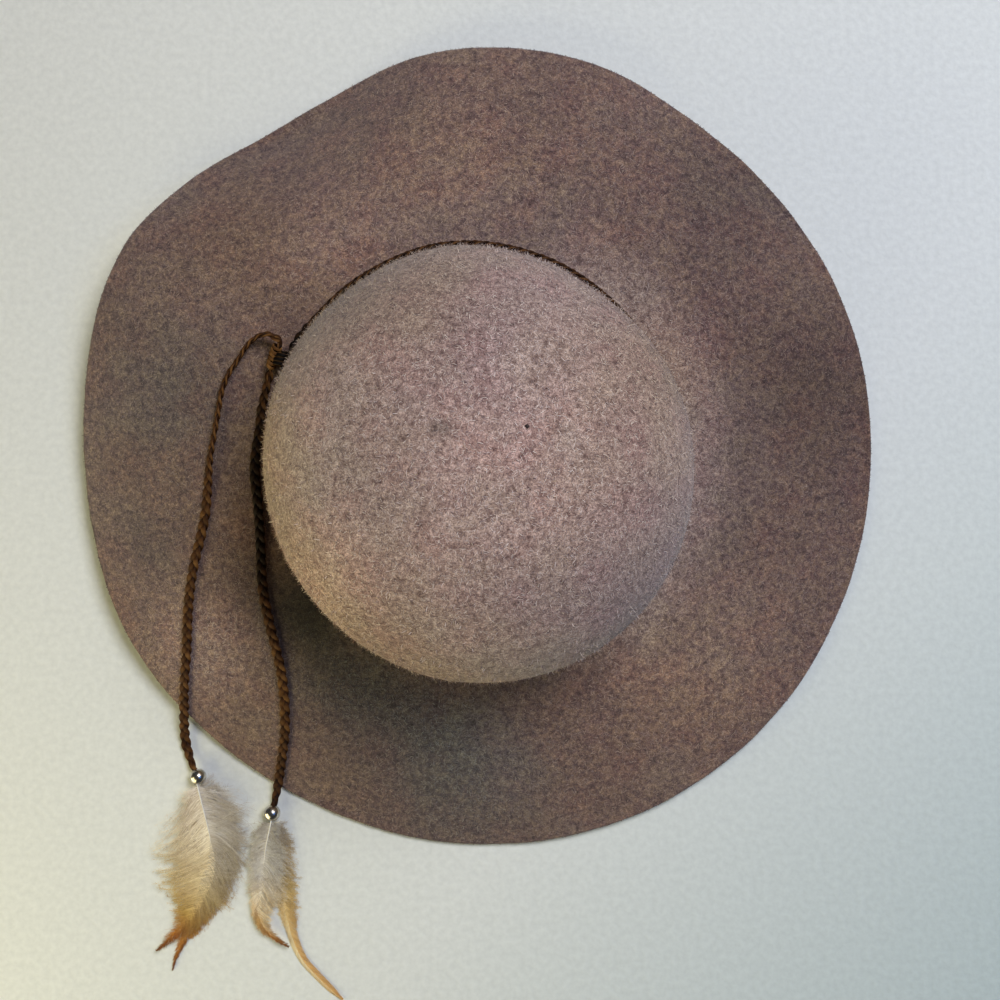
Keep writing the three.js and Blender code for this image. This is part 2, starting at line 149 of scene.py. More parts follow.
# The middle line of each loose end, in metres, from the knot to the bead
LEFT_TIE_ROUTE = [
    (-0.0861, 0.0472, 0.0456),
    (-0.0890, 0.0497, 0.0456),
    (-0.0934, 0.0506, 0.0446),
    (-0.0979, 0.0490, 0.0432),
    (-0.1019, 0.0458, 0.0420),
    (-0.1054, 0.0408, 0.0410),
    (-0.1113, 0.0324, 0.0399),
    (-0.1143, 0.0246, 0.0393),
    (-0.1158, 0.0164, 0.0388),
    (-0.1179, 0.0058, 0.0381),
    (-0.1200, -0.0044, 0.0372),
    (-0.1219, -0.0201, 0.0357),
    (-0.1235, -0.0307, 0.0344),
    (-0.1263, -0.0424, 0.0329),
    (-0.1296, -0.0537, 0.0308),
    (-0.1320, -0.0642, 0.0288),
    (-0.1337, -0.0742, 0.0266),
    (-0.1351, -0.0869, 0.0235),
    (-0.1366, -0.0982, 0.0201),
    (-0.1381, -0.1072, 0.0169),
    (-0.1398, -0.1184, 0.0126),
    (-0.1408, -0.1270, 0.0093),
    (-0.1413, -0.1320, 0.0072),
    (-0.1418, -0.1375, 0.0044),
    (-0.1418, -0.1420, 0.0027),
    (-0.1412, -0.1458, 0.0021),
    (-0.1399, -0.1496, 0.0022),
    (-0.1374, -0.1551, 0.0034),
]
RIGHT_TIE_ROUTE = [
    (-0.0910, 0.0338, 0.0439),
    (-0.0924, 0.0285, 0.0427),
    (-0.0943, 0.0218, 0.0412),
    (-0.0958, 0.0162, 0.0403),
    (-0.0969, 0.0070, 0.0399),
    (-0.0987, -0.0031, 0.0393),
    (-0.0994, -0.0132, 0.0387),
    (-0.0983, -0.0252, 0.0379),
    (-0.0974, -0.0395, 0.0369),
    (-0.0972, -0.0501, 0.0360),
    (-0.0970, -0.0609, 0.0348),
    (-0.0960, -0.0717, 0.0333),
    (-0.0941, -0.0826, 0.0314),
    (-0.0918, -0.0936, 0.0292),
    (-0.0899, -0.1047, 0.0265),
    (-0.0891, -0.1180, 0.0226),
    (-0.0895, -0.1277, 0.0193),
    (-0.0905, -0.1377, 0.0154),
    (-0.0926, -0.1477, 0.0110),
    (-0.0945, -0.1562, 0.0071),
    (-0.0956, -0.1610, 0.0052),
    (-0.0967, -0.1655, 0.0034),
    (-0.0974, -0.1688, 0.0028),
    (-0.0980, -0.1719, 0.0032),
]

# Each feather's shaft from quill to tip, in millimetres: its place, then how far the barbs reach
# to the right of it and to the left of it in the picture
LEFT_UPPER_SHAFT = [
    (-135.1, -163.3, 5.2, 9, 5),
    (-133.6, -170.1, 4.7, 15, 10),
    (-131.3, -179.9, 4.0, 18, 17),
    (-129.2, -190.5, 3.5, 16, 21),
    (-129.0, -201.0, 3.4, 15, 22),
    (-132.4, -213.1, 3.4, 12, 20),
    (-139.3, -227.3, 3.4, 7, 13),
    (-149.0, -237.9, 3.3, 3, 5),
    (-156.6, -244.7, 3.2, 0.6, 0.6),
]
LEFT_LOWER_SHAFT = [
    (-135.1, -163.2, 2.7, 6, 3),
    (-132.9, -174.0, 1.4, 9, 6),
    (-130.6, -188.0, 1.0, 15, 11),
    (-129.8, -201.0, 1.0, 16, 12),
    (-131.1, -213.4, 1.0, 12, 11),
    (-136.4, -228.0, 1.0, 7, 9),
    (-143.4, -240.3, 1.0, 2, 3),
    (-147.3, -249.2, 1.0, 0.7, 1.0),
    (-148.9, -255.5, 1.0, 0.3, 0.3),
]
RIGHT_UPPER_SHAFT = [
    (-99.2, -180.6, 5.2, 4, 4),
    (-100.2, -185.0, 4.7, 5, 5),
    (-101.9, -192.7, 4.0, 8, 8),
    (-103.2, -202.1, 3.6, 10.5, 7),
    (-105.0, -213.8, 3.4, 11.5, 5),
    (-105.6, -222.5, 3.4, 10, 4.5),
    (-103.2, -230.7, 3.4, 6, 3.5),
    (-97.6, -236.9, 3.4, 2, 2),
    (-90.3, -241.8, 3.2, 0.5, 0.5),
]
RIGHT_LOWER_SHAFT = [
    (-98.9, -180.6, 2.7, 5, 4),
    (-98.4, -190.0, 1.2, 8, 6),
    (-97.1, -200.7, 1.0, 8, 6),
    (-95.2, -211.9, 1.0, 7, 4),
    (-92.7, -224.0, 1.0, 4.5, 3),
    (-89.4, -237.6, 1.0, 2.8, 2.4),
    (-84.4, -248.2, 1.0, 2.3, 2.0),
    (-77.4, -255.9, 1.0, 2.1, 1.9),
    (-70.4, -262.6, 1.0, 1.8, 1.6),
    (-64.2, -268.0, 1.0, 0.5, 0.5),
]


def make_camera():
    camera = bpy.data.objects.new("camera", bpy.data.cameras.new("camera"))
    back = (CAMERA_PLACE - CAMERA_AIM).normalized()
    across = Vector((0, 1, 0)).cross(back).normalized()
    turn = Matrix((across, back.cross(across), back)).transposed().to_4x4()
    camera.matrix_world = Matrix.Translation(CAMERA_PLACE) @ turn
    camera.data.angle = CAMERA_ANGLE
    bpy.context.scene.collection.objects.link(camera)
    bpy.context.scene.camera = camera


# Lines and meshes made of number arrays


def unit(vectors):
    return vectors / np.maximum(np.linalg.norm(vectors, axis=-1, keepdims=True), 1e-12)


def across_of(vectors, ahead):
    """The part of each vector that is square to ahead, at length 1."""
    return unit(vectors - ahead * np.sum(vectors * ahead, axis=-1, keepdims=True))


def ease(low, high, value):
    """0 below low, 1 above high, and a smooth step between."""
    share = np.clip((np.asarray(value, float) - low) / (high - low), 0, 1)
    return share * share * (3 - 2 * share)


def distances_along(line):
    steps = np.linalg.norm(np.diff(line, axis=0), axis=1)
    return np.concatenate([[0], np.cumsum(steps)])


def on_line(places, along, line):
    """Points of a line at the given distances along it."""
    return np.stack([np.interp(places, along, line[:, axis]) for axis in range(line.shape[1])], axis=-1)


def smooth_route(points, step):
    """Centripetal Catmull-Rom curve through given points, with its own points about a step apart."""
    points = np.array(points, float)
    whole = np.vstack([2 * points[0] - points[1], points, 2 * points[-1] - points[-2]])
    knots = np.concatenate([[0], np.cumsum(np.linalg.norm(np.diff(whole, axis=0), axis=1) ** 0.5)])
    line = []
    for index in range(1, len(whole) - 2):
        t0, t1, t2, t3 = knots[index - 1:index + 3]
        p0, p1, p2, p3 = whole[index - 1:index + 3]
        for t in np.linspace(t1, t2, 12, endpoint=False):
            a1 = (p0 * (t1 - t) + p1 * (t - t0)) / (t1 - t0)
            a2 = (p1 * (t2 - t) + p2 * (t - t1)) / (t2 - t1)
            a3 = (p2 * (t3 - t) + p3 * (t - t2)) / (t3 - t2)
            b1 = (a1 * (t2 - t) + a2 * (t - t0)) / (t2 - t0)
            b2 = (a2 * (t3 - t) + a3 * (t - t1)) / (t3 - t1)
            line.append((b1 * (t2 - t) + b2 * (t - t1)) / (t2 - t1))
    line = np.array(line + [points[-1]])
    along = distances_along(line)
    return on_line(np.linspace(0, along[-1], round(along[-1] / step) + 1), along, line)


def tangents(line, closed=False):
    if closed:
        return unit(np.roll(line, -1, axis=0) - np.roll(line, 1, axis=0))
    return unit(np.gradient(line, axis=0))


def smoothed(values, width, closed=False):
    """Moving average over a number of neighbours to each side."""
    mode = "wrap" if closed else "edge"
    padded = np.pad(values, ((width, width), (0, 0)), mode=mode)
    total = np.cumsum(np.vstack([np.zeros_like(padded[:1]), padded]), axis=0)
    return (total[2 * width + 1:] - total[:-2 * width - 1]) / (2 * width + 1)


def gathered(parts):
    """One set of points, faces, values and material numbers from several (points, faces, values, number)."""
    points, faces, numbers = [], [], []
    values = {key: [] for part in parts for key in part[2]}
    first = 0
    for part_points, part_faces, part_values, number in parts:
        count = len(part_points)
        points.append(part_points)
        faces += [[first + corner for corner in face] for face in part_faces]
        numbers += [number] * len(part_faces)
        for key in values:
            values[key].append(np.broadcast_to(part_values.get(key, 0.0), count))
        first += count
    return np.vstack(points), faces, {key: np.concatenate(found) for key, found in values.items()}, numbers


def new_piece(name, materials, parts, replaced=None):
    """A mesh object at the origin that rides on the hat, with a number per point for each named value."""
    points, faces, values, numbers = gathered(parts)
    mesh = bpy.data.meshes.new(name)
    mesh.from_pydata(points.tolist(), [], faces)
    for key, found in values.items():
        attribute = mesh.attributes.new(key, "FLOAT", "POINT")
        attribute.data.foreach_set("value", found.astype(np.float32))
    mesh.polygons.foreach_set("use_smooth", [True] * len(faces))
    mesh.polygons.foreach_set("material_index", numbers)
    for material in materials:
        mesh.materials.append(material)
    piece = bpy.data.objects.new(name, mesh)
    bpy.context.scene.collection.objects.link(piece)
    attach(piece, BODY)
    if replaced:
        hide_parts(replaced)
    return piece


def tube(line, normals, half_width, half_thickness, values, number=0, sides=LACE_SIDES, closed=False):
    """A flat, round-edged section carried along a line, as a part for gathered. Its edge value is 1 on the
    side that the outwards value turns to, or else on both sides, and 0 on the flat."""
    ahead = tangents(line, closed)
    normals = across_of(normals, ahead)
    across = np.cross(ahead, normals)
    angle = 2 * math.pi * np.arange(sides) / sides
    wide = np.sign(np.cos(angle)) * np.abs(np.cos(angle)) ** 0.75
    high = np.sign(np.sin(angle)) * np.abs(np.sin(angle)) ** 0.75
    half_width = np.broadcast_to(half_width, len(line))[:, None, None]
    half_thickness = np.broadcast_to(half_thickness, len(line))[:, None, None]
    rings = line[:, None] + across[:, None] * wide[:, None] * half_width
    rings = rings + normals[:, None] * high[:, None] * half_thickness
    count = len(line)
    ring, side = np.meshgrid(np.arange(count if closed else count - 1), np.arange(sides), indexing="ij")
    after, beside = (ring + 1) % count, (side + 1) % sides
    corners = [ring * sides + side, ring * sides + beside, after * sides + beside, after * sides + side]
    faces = np.stack(corners, axis=-1).reshape(-1, 4).tolist()
    if not closed:
        faces.append(list(range(sides - 1, -1, -1)))
        faces.append(list(range((count - 1) * sides, count * sides)))
    spread = {key: np.repeat(np.broadcast_to(value, count), sides) for key, value in values.items()}
    to_side = np.tile(np.cos(angle), count)
    outwards = spread.pop("outwards", np.sign(to_side))
    spread["edge"] = np.clip(to_side * outwards, 0, 1) ** 3
    return rings.reshape(-1, 3), faces, spread, number


def ribbons(lines, across, widths, values, number=0):
    """Thin strips as one part for gathered: lines is strips by points, and across is the way each widens."""
    count, length = lines.shape[:2]
    half = across * widths[..., None] / 2
    points = np.stack([lines - half, lines + half], axis=2).reshape(-1, 3)
    strip, step = np.meshgrid(np.arange(count), np.arange(length - 1), indexing="ij")
    corner = (strip * length + step) * 2
    faces = np.stack([corner, corner + 1, corner + 3, corner + 2], axis=-1).reshape(-1, 4).tolist()
    spread = {}
    for key, value in values.items():
        spread[key] = np.repeat(np.broadcast_to(value, (count, length)).ravel(), 2)
    return points, faces, spread, number


# Looks

MIX_FACTOR, MIX_UNDER, MIX_OVER, MIX_COLOUR = 0, 6, 7, 2


def linear(colour):
    """An sRGB hex colour as linear red, green, blue and alpha."""
    channels = [int(colour[place:place + 2], 16) / 255 for place in (1, 3, 5)]
    return [c / 12.92 if c <= 0.04045 else ((c + 0.055) / 1.055) ** 2.4 for c in channels] + [1.0]


def per_mm(size):
    """Scale of a noise texture whose features are about this many millimetres across."""
    return 1 / (size * MM)


def add(material, kind, inputs, stops=(), **settings):
    """Adds one shader node. Inputs that are sockets are linked and others are set. Stops fill a colour ramp:
    its first, its last, then those between."""
    tree = material.node_tree
    node = tree.nodes.new("ShaderNode" + kind)
    for key, value in settings.items():
        setattr(node, key, value)
    for key, value in inputs.items():
        if isinstance(value, bpy.types.NodeSocket):
            tree.links.new(value, node.inputs[key])
        else:
            node.inputs[key].default_value = value
    for index, (place, colour) in enumerate(stops):
        elements = node.color_ramp.elements
        element = elements[index] if index < 2 else elements.new(place)
        element.position, element.color = place, linear(colour)
    return node


def new_material(name, **shader):
    """A material with one shader, whose uniform values are set on its own sockets."""
    material = bpy.data.materials.new(name)
    material.use_nodes = True
    principled = material.node_tree.nodes["Principled BSDF"]
    for key, value in shader.items():
        principled.inputs[key.replace("_", " ")].default_value = value
    return material, principled


def finish_material(material, shader, colour, height, depth):
    """Links the colour, and a bump whose full height is depth millimetres."""
    bump = add(material, "Bump", {"Height": height, "Strength": 0.6, "Distance": depth * MM})
    material.node_tree.links.new(colour, shader.inputs["Base Color"])
    material.node_tree.links.new(bump.outputs["Normal"], shader.inputs["Normal"])
    return material


# Wool felt: crown and brim


def node_points(name):
    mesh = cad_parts[name].data
    points = np.empty(len(mesh.vertices) * 3)
    mesh.vertices.foreach_get("co", points)
    return points.reshape(-1, 3)


def band_plane():
    """Middle of the band round the crown, and the way up out of its plane."""
    points = node_points("hat_band")
    middle = points.mean(axis=0)
    up = np.linalg.svd(points - middle, full_matrices=False)[2][2]
    return middle, up * np.sign(up[2])


def on_crown(points):
    """1 on the crown, above the band, and 0 on the brim. To the right the crown's pale wool runs out thinly on
    to the brim."""
    middle, up = band_plane()
    over_band = ((points - middle) @ up) / MM
    from_middle = np.linalg.norm((points - middle)[:, :2], axis=1) / MM
    high = ease(*PALE_OVER_BAND, over_band) * (1 - ease(*PALE_MOSTLY, from_middle))
    to_right = ease(0.2, 0.75, (points - middle)[:, 0] / MM / from_middle)
    return np.maximum(high, 0.65 * to_right * (1 - ease(*PALE_TO_RIGHT, from_middle)))


def wool_values(points):
    """The wool's values by place: crown or brim, blotches of its own tone and of painted light and shade, and
    the smudge on top of the crown.
    """
    high = on_crown(points)
    seen = points[:, :2] / MM
    tone_and_painted_light = np.ones(len(points))
    grey = np.full(len(points), 0.5)
    for share, places in ((1 - high, BRIM_TONE_AND_PAINTED_LIGHT), (high, CROWN_TONE_AND_PAINTED_LIGHT)):
        for x, y, size, paler, greyer in places:
            near = np.exp(-np.sum((seen - (x, y)) ** 2, axis=1) / size ** 2) * share
            tone_and_painted_light = tone_and_painted_light * (1 + (paler - 1) * near)
            grey = grey + greyer / 2 * near
    smudge = 1 - ease(1.0, 5.5, np.linalg.norm((seen - SMUDGE) * (0.8, 1.3), axis=1))
    return {"crown": high, "tone_and_painted_light": tone_and_painted_light * (1 - 0.45 * smudge * high), "grey": np.clip(grey, 0, 1)}


def uneven(point):
    """Hand-blocked felt is never quite even: two sizes of soft swelling, from about -1 to 1."""
    size = UNEVEN_SIZE * MM
    finer = Vector(point) / (0.35 * size) + Vector((7, 3, 5))
    return noise.noise(Vector(point) / size) + 0.4 * noise.noise(finer)


def rounded_felt():
    """The felt body with its facets rounded over, and its cut rim left fairly sharp."""
    form = bmesh.new()
    form.from_mesh(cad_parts["felt_body"].data)
    bmesh.ops.remove_doubles(form, verts=form.verts, dist=0.01 * MM)
    bmesh.ops.join_triangles(
        form, faces=form.faces, angle_face_threshold=math.radians(60), angle_shape_threshold=math.radians(180)
    )
    crease = form.edges.layers.float.new("crease_edge")
    for edge in form.edges:
        if len(edge.link_faces) == 2 and edge.calc_face_angle() > math.radians(50):
            edge[crease] = 0.6
    mesh = bpy.data.meshes.new("felt_form")
    form.to_mesh(mesh)
    form.free()
    shape = bpy.data.objects.new("felt_form", mesh)
    bpy.context.scene.collection.objects.link(shape)
    rounding = shape.modifiers.new("rounding", "SUBSURF")
    rounding.levels = rounding.render_levels = FELT_ROUNDING
    rounded = bpy.data.meshes.new_from_object(shape.evaluated_get(bpy.context.evaluated_depsgraph_get()))
    bpy.data.objects.remove(shape)
    return rounded


def felt_form():
    """Points and faces of the rounded felt, made slightly uneven on both its sides alike, and which points
    are on its outer side."""
    rounded = rounded_felt()
    points = np.array([vertex.co for vertex in rounded.vertices])
    normals = np.array([vertex.normal for vertex in rounded.vertices])
    faces = [list(face.vertices) for face in rounded.polygons]
    outwards = unit(points * (1, 1, 0)) + UP
    facing = np.sign(np.sum(normals * outwards, axis=1))
    swell = np.array([uneven(point) for point in points]) * facing * UNEVEN_DEPTH * MM
    points = points + normals * swell[:, None]
    points[:, 2] = np.maximum(points[:, 2], 0)
    return points, faces, facing > 0


def split_faces(points, faces):
    """Corners, flat normals and areas of the felt's triangles."""
    triangles = []
    for face in faces:
        triangles += [(face[0], face[index], face[index + 1]) for index in range(1, len(face) - 1)]
    corners = points[np.array(triangles)]
    normals = np.cross(corners[:, 1] - corners[:, 0], corners[:, 2] - corners[:, 0])
    return corners, unit(normals), np.linalg.norm(normals, axis=1) / 2


def outer_share(corners, normals):
    """1 for faces on the felt's outer side, 0 for those under the brim and inside the crown."""
    outwards = np.sum(normals * unit(corners.mean(axis=1) * (1, 1, 0)), axis=1)
    return (normals[:, 2] > 0.2) | ((outwards > 0.5) & (normals[:, 2] > -0.3))


def with_tone_and_painted_light(material, colour):
    """The wool's colour, paler or darker and greyer or yellower by its place on the hat: partly its own tone,
    partly painted light and painted shade.
    """
    grey = add(material, "Attribute", {}, attribute_name="grey").outputs["Fac"]
    # From a warm cast to a cool blue one: partly the wool's own tint, partly the colour of painted light and
    # shade
    cast = [(0.0, "#fffae4"), (1.0, "#cdedff"), (0.5, "#ffffff")]
    cast = add(material, "ValToRGB", {"Fac": grey}, cast).outputs["Color"]
    colour = {MIX_FACTOR: 1.0, MIX_UNDER: colour, MIX_OVER: cast}
    colour = add(material, "Mix", colour, data_type="RGBA", blend_type="MULTIPLY").outputs[MIX_COLOUR]
    paler = add(material, "Attribute", {}, attribute_name="tone_and_painted_light").outputs["Fac"]
    return add(material, "HueSaturation", {"Color": colour, "Value": paler}).outputs["Color"]


def heathered(material, tone, pale, dark):
    """The crown's pale wool or the brim's dark wool, each from its darkest fibres to its palest by tone."""
    crown = add(material, "Attribute", {}, attribute_name="crown").outputs["Fac"]
    pale = add(material, "ValToRGB", {"Fac": tone}, pale).outputs["Color"]
    dark = add(material, "ValToRGB", {"Fac": tone}, dark).outputs["Color"]
    colour = {MIX_FACTOR: crown, MIX_UNDER: dark, MIX_OVER: pale}
    return add(material, "Mix", colour, data_type="RGBA").outputs[MIX_COLOUR]


def wool_felt():
    """Wool felt, wet-blocked, then brushed dry: heathered pale and dark wool, dull, with a faint bloom of
    fibre."""
    material, shader = new_material(
        "heathered_wool_felt", Roughness=0.95, Specular_IOR_Level=0.15, Sheen_Weight=0.2, Sheen_Roughness=0.6
    )
    where = add(material, "TexCoord", {}).outputs["Object"]
    heather = {"Vector": where, "Scale": per_mm(3.2), "Detail": 4.0, "Roughness": 0.62, "Distortion": 0.4}
    heather = add(material, "TexNoise", heather).outputs["Fac"]
    pale = [(0.30, "#9c827c"), (0.70, "#fbe6da"), (0.43, "#cbb3a9"), (0.56, "#e4cdc2")]
    dark = [(0.30, "#6f5d59"), (0.70, "#c2a892"), (0.43, "#907974"), (0.56, "#a99181")]
    colour = heathered(material, heather, pale, dark)
    for size, stops in (
        (19, [(0.35, "#fff3ef"), (0.65, "#f8f6ee"), (0.5, "#fbf6f1")]),
        (75, [(0.35, "#e8dfe2"), (0.65, "#ffffff"), (0.5, "#fbf3ee")]),
    ):
        patch = {"Vector": where, "Scale": per_mm(size), "Detail": 2.0}
        patch = add(material, "TexNoise", patch).outputs["Fac"]
        patch = add(material, "ValToRGB", {"Fac": patch}, stops).outputs["Color"]
        colour = {MIX_FACTOR: 1.0, MIX_UNDER: colour, MIX_OVER: patch}
        colour = add(material, "Mix", colour, data_type="RGBA", blend_type="MULTIPLY").outputs[MIX_COLOUR]
    for size, darkest in ((1.5, "#b3abab"), (0.6, "#7c7474")):
        grain = {"Vector": where, "Scale": per_mm(size), "Detail": 3.0, "Roughness": 0.65}
        grain = add(material, "TexNoise", grain).outputs["Fac"]
        shade = [(0.35, darkest), (0.65, "#ffffff")]
        shade = add(material, "ValToRGB", {"Fac": grain}, shade).outputs["Color"]
        colour = {MIX_FACTOR: 0.8, MIX_UNDER: colour, MIX_OVER: shade}
        colour = add(material, "Mix", colour, data_type="RGBA", blend_type="MULTIPLY").outputs[MIX_COLOUR]
    return finish_material(material, shader, with_tone_and_painted_light(material, colour), grain, 0.5)


def loose_wool():
    """Single wool fibres lying on the felt, drawn coarser than real ones so that they show: pale, tan or
    dark."""
    material, shader = new_material(
        "loose_wool_fibre", Roughness=0.9, Specular_IOR_Level=0.2, Sheen_Weight=0.15
    )
    where = add(material, "TexCoord", {}).outputs["Object"]
    tone = add(material, "Attribute", {}, attribute_name="tone").outputs["Fac"]
    pale = [(0.0, "#725e5b"), (1.0, "#dfccbf"), (0.2, "#97817b"), (0.5, "#c3ada2")]
    dark = [(0.0, "#574948"), (1.0, "#aa9280"), (0.2, "#705e5b"), (0.5, "#8f7a6f")]
    colour = with_tone_and_painted_light(material, heathered(material, tone, pale, dark))
    grain = add(material, "TexNoise", {"Vector": where, "Scale": per_mm(0.5)}).outputs["Fac"]
    return finish_material(material, shader, colour, grain, 0.05)


def spots_on(rng, corners, normals, weight, count):
    """Random spots spread over triangles by weight, and the normal at each."""
    chosen = rng.choice(len(corners), count, p=weight / weight.sum())
    first, second = rng.random((2, count, 1))
    folded = first + second > 1
    first, second = np.where(folded, 1 - first, first), np.where(folded, 1 - second, second)
    a, b, c = (corners[chosen, corner] for corner in range(3))
    return a + (b - a) * first + (c - a) * second, normals[chosen]


def fibre_tones(rng, spots):
    """Mostly pale and tan wool with some dark, and all dark in the fleck on the crown's top."""
    count = len(spots)
    tone = rng.choice(WOOL_SHADES, count, p=WOOL_SHARES) + rng.normal(0, 0.06, count)
    fleck = (np.linalg.norm(spots[:, :2] / MM - FLECK, axis=1) < FLECK_RADIUS) * on_crown(spots)
    return np.clip(tone * (1 - fleck), 0, 1)


def from_rim(points, felt_points):
    """How far each point is from the brim's cut rim, in millimetres, seen from above."""
    turns = np.arctan2(felt_points[:, 1], felt_points[:, 0])
    sectors = ((turns + math.pi) / (2 * math.pi) * RIM_SECTORS).astype(int) % RIM_SECTORS
    rim = np.zeros(RIM_SECTORS)
    np.maximum.at(rim, sectors, np.linalg.norm(felt_points[:, :2], axis=1))
    turns = (np.arctan2(points[:, 1], points[:, 0]) + math.pi) / (2 * math.pi) * RIM_SECTORS - 0.5
    rim_here = np.interp(turns, np.arange(RIM_SECTORS), rim, period=RIM_SECTORS)
    return (rim_here - np.linalg.norm(points[:, :2], axis=1)) / MM


def nap(name, seed, felt, weight, count, material, lifted=0.08, lift=(0.3, 0.9), length=(0.8, 2.4)):
    """Loose fibres over one part of the felt, flat on it, apart from a share, lifted, that stand off it."""
    rng = np.random.default_rng(seed)
    felt_points, corners, normals = felt
    spots, facing = spots_on(rng, corners, normals, weight, count)
    near_rim = 0.4 + 0.6 * ease(0.5, 4.0, from_rim(spots, felt_points))
    length = rng.uniform(*length, count) * near_rim * MM
    stands = rng.random(count) < lifted
    rise = np.where(stands, rng.uniform(*lift, count), rng.uniform(0.0, 0.15, count)) * MM * near_rim
    ahead = across_of(rng.normal(size=(count, 3)), facing)
    beside = np.cross(facing, ahead)
    share = np.array([0.0, 0.5, 1.0])
    turn = rng.normal(0, 0.6, count)[:, None] * share
    way = ahead[:, None] * np.cos(turn)[..., None] + beside[:, None] * np.sin(turn)[..., None]
    steps = way * (length / 2)[:, None, None]
    lines = spots[:, None] + np.cumsum(steps, axis=1) - steps[:, :1]
    lines = lines + facing[:, None] * (rise[:, None] * share ** 1.3 + 0.05 * MM)[..., None]
    lines[..., 2] = np.maximum(lines[..., 2], 0.1 * MM)
    across = np.cross(np.broadcast_to(facing[:, None], way.shape), way)
    widths = rng.uniform(*FIBRE_WIDTH, count)[:, None] * np.array([0.7, 1.0, 0.3]) * MM
    values = {"tone": fibre_tones(rng, spots), **wool_values(spots)}
    values = {key: value[:, None] for key, value in values.items()}
    return new_piece(name, [material], [ribbons(lines, across, widths, values)])


def make_fleck(felt_tree, material):
    """A speck of dark wool caught in the top of the crown."""
    rng = np.random.default_rng(6)
    count = FLECK_FIBRES
    above = Vector((FLECK[0] * MM, FLECK[1] * MM, ABOVE_HAT * MM))
    spot, normal, _, _ = felt_tree.ray_cast(above, Vector((0, 0, -1)))
    facing = np.broadcast_to(np.array(normal), (count, 3))
    away = across_of(rng.normal(size=(count, 3)), facing) * (rng.uniform(0, 0.45, count) * MM)[:, None]
    ahead = across_of(rng.normal(size=(count, 3)), facing)
    share = np.array([0.0, 0.5, 1.0])
    lines = (np.array(spot) + away)[:, None] + ahead[:, None] * share[:, None] * 0.7 * MM
    rise = rng.uniform(0.15, 0.4, count)[:, None] * MM * (1 - share ** 2)
    lines = lines + facing[:, None] * rise[..., None]
    across = np.cross(facing, ahead)[:, None] + np.zeros((1, 3, 1))
    widths = np.broadcast_to(np.array([0.25, 0.3, 0.1]) * MM, (count, 3))
    values = {"tone": 0.0, "crown": 0.0, "tone_and_painted_light": 0.35, "grey": 0.3}
    return new_piece("dark_wool_fleck", [material], [ribbons(lines, across, widths, values)])


def make_felt(points, faces, outside):
    """The felt, plain on its inner side, and the loose wool on its outer side and its rim."""
    values = wool_values(points)
    values["tone_and_painted_light"] = np.where(outside, values["tone_and_painted_light"], 1.0)
    values["grey"] = np.where(outside, values["grey"], 0.5)
    new_piece("felt_crown_and_brim", [wool_felt()], [(points, faces, values, 0)], "felt_body")
    corners, normals, areas = split_faces(points, faces)
    outer = areas * outer_share(corners, normals)
    middles = corners.mean(axis=1)
    crown = on_crown(middles)
    wool = loose_wool()
    surface = (points, corners, normals)
    nap("crown_nap", 3, surface, outer * crown, CROWN_FIBRES, wool, lifted=0.16, lift=(0.3, 1.3))
    nap("brim_nap", 4, surface, outer * (1 - crown), BRIM_FIBRES, wool)
    steep = outer * (crown > 0.9) * (normals[:, 2] < 0.6)
    fuzz = {"lifted": 0.8, "lift": (0.6, 1.7), "length": (1.2, 2.6)}
    nap("crown_fuzz", 7, surface, steep, CROWN_FUZZ_FIBRES, wool, **fuzz)
    wide = np.linalg.norm(middles[:, :2], axis=1) > RIM_FROM_MIDDLE * MM
    rim = areas * wide * (np.abs(normals[:, 2]) < 0.6)
    nap("rim_fuzz", 5, surface, rim, RIM_FIBRES, wool, lifted=0.6, length=(1.2, 2.6))
    make_fleck(BVHTree.FromPolygons(points.tolist(), faces), wool)


# Braided leather cord: the band, the knot and the two loose ends


def waxed_leather():
    """Waxed leather lace, cut narrow and braided by hand: brown, paler on its edges from rubbing and from
    painted light, and near black with painted shade where one lace dips under another."""
    material, shader = new_material("waxed_leather_lace", Roughness=0.6, Specular_IOR_Level=0.1)
    where = add(material, "TexCoord", {}).outputs["Object"]
    tint = add(material, "Attribute", {}, attribute_name="tint").outputs["Fac"]
    brown = [(0.0, "#0c0504"), (1.0, "#8d6436"), (0.35, "#2b190d"), (0.65, "#55351b")]
    brown = add(material, "ValToRGB", {"Fac": tint}, brown).outputs["Color"]
    patch = add(material, "TexNoise", {"Vector": where, "Scale": per_mm(5), "Detail": 3.0}).outputs["Fac"]
    patch = add(material, "ValToRGB", {"Fac": patch}, [(0.3, "#a59a8c"), (0.7, "#ffffff")]).outputs["Color"]
    colour = {MIX_FACTOR: 0.9, MIX_UNDER: brown, MIX_OVER: patch}
    colour = add(material, "Mix", colour, data_type="RGBA", blend_type="MULTIPLY").outputs[MIX_COLOUR]
    edge = add(material, "Attribute", {}, attribute_name="edge").outputs["Fac"]
    # Edges paler: rubbed wear, and painted light where the laces' edges catch it
    wear_and_painted_light = add(material, "ValToRGB", {"Fac": edge}, [(0.3, "#000000"), (0.95, "#a0a0a0")]).outputs["Color"]
    colour = {MIX_FACTOR: wear_and_painted_light, MIX_UNDER: colour, MIX_OVER: linear("#93693a")}
    colour = add(material, "Mix", colour, data_type="RGBA").outputs[MIX_COLOUR]
    grain = add(material, "TexNoise", {"Vector": where, "Scale": per_mm(0.4), "Detail": 2.0}).outputs["Fac"]
    return finish_material(material, shader, colour, grain, 0.12)


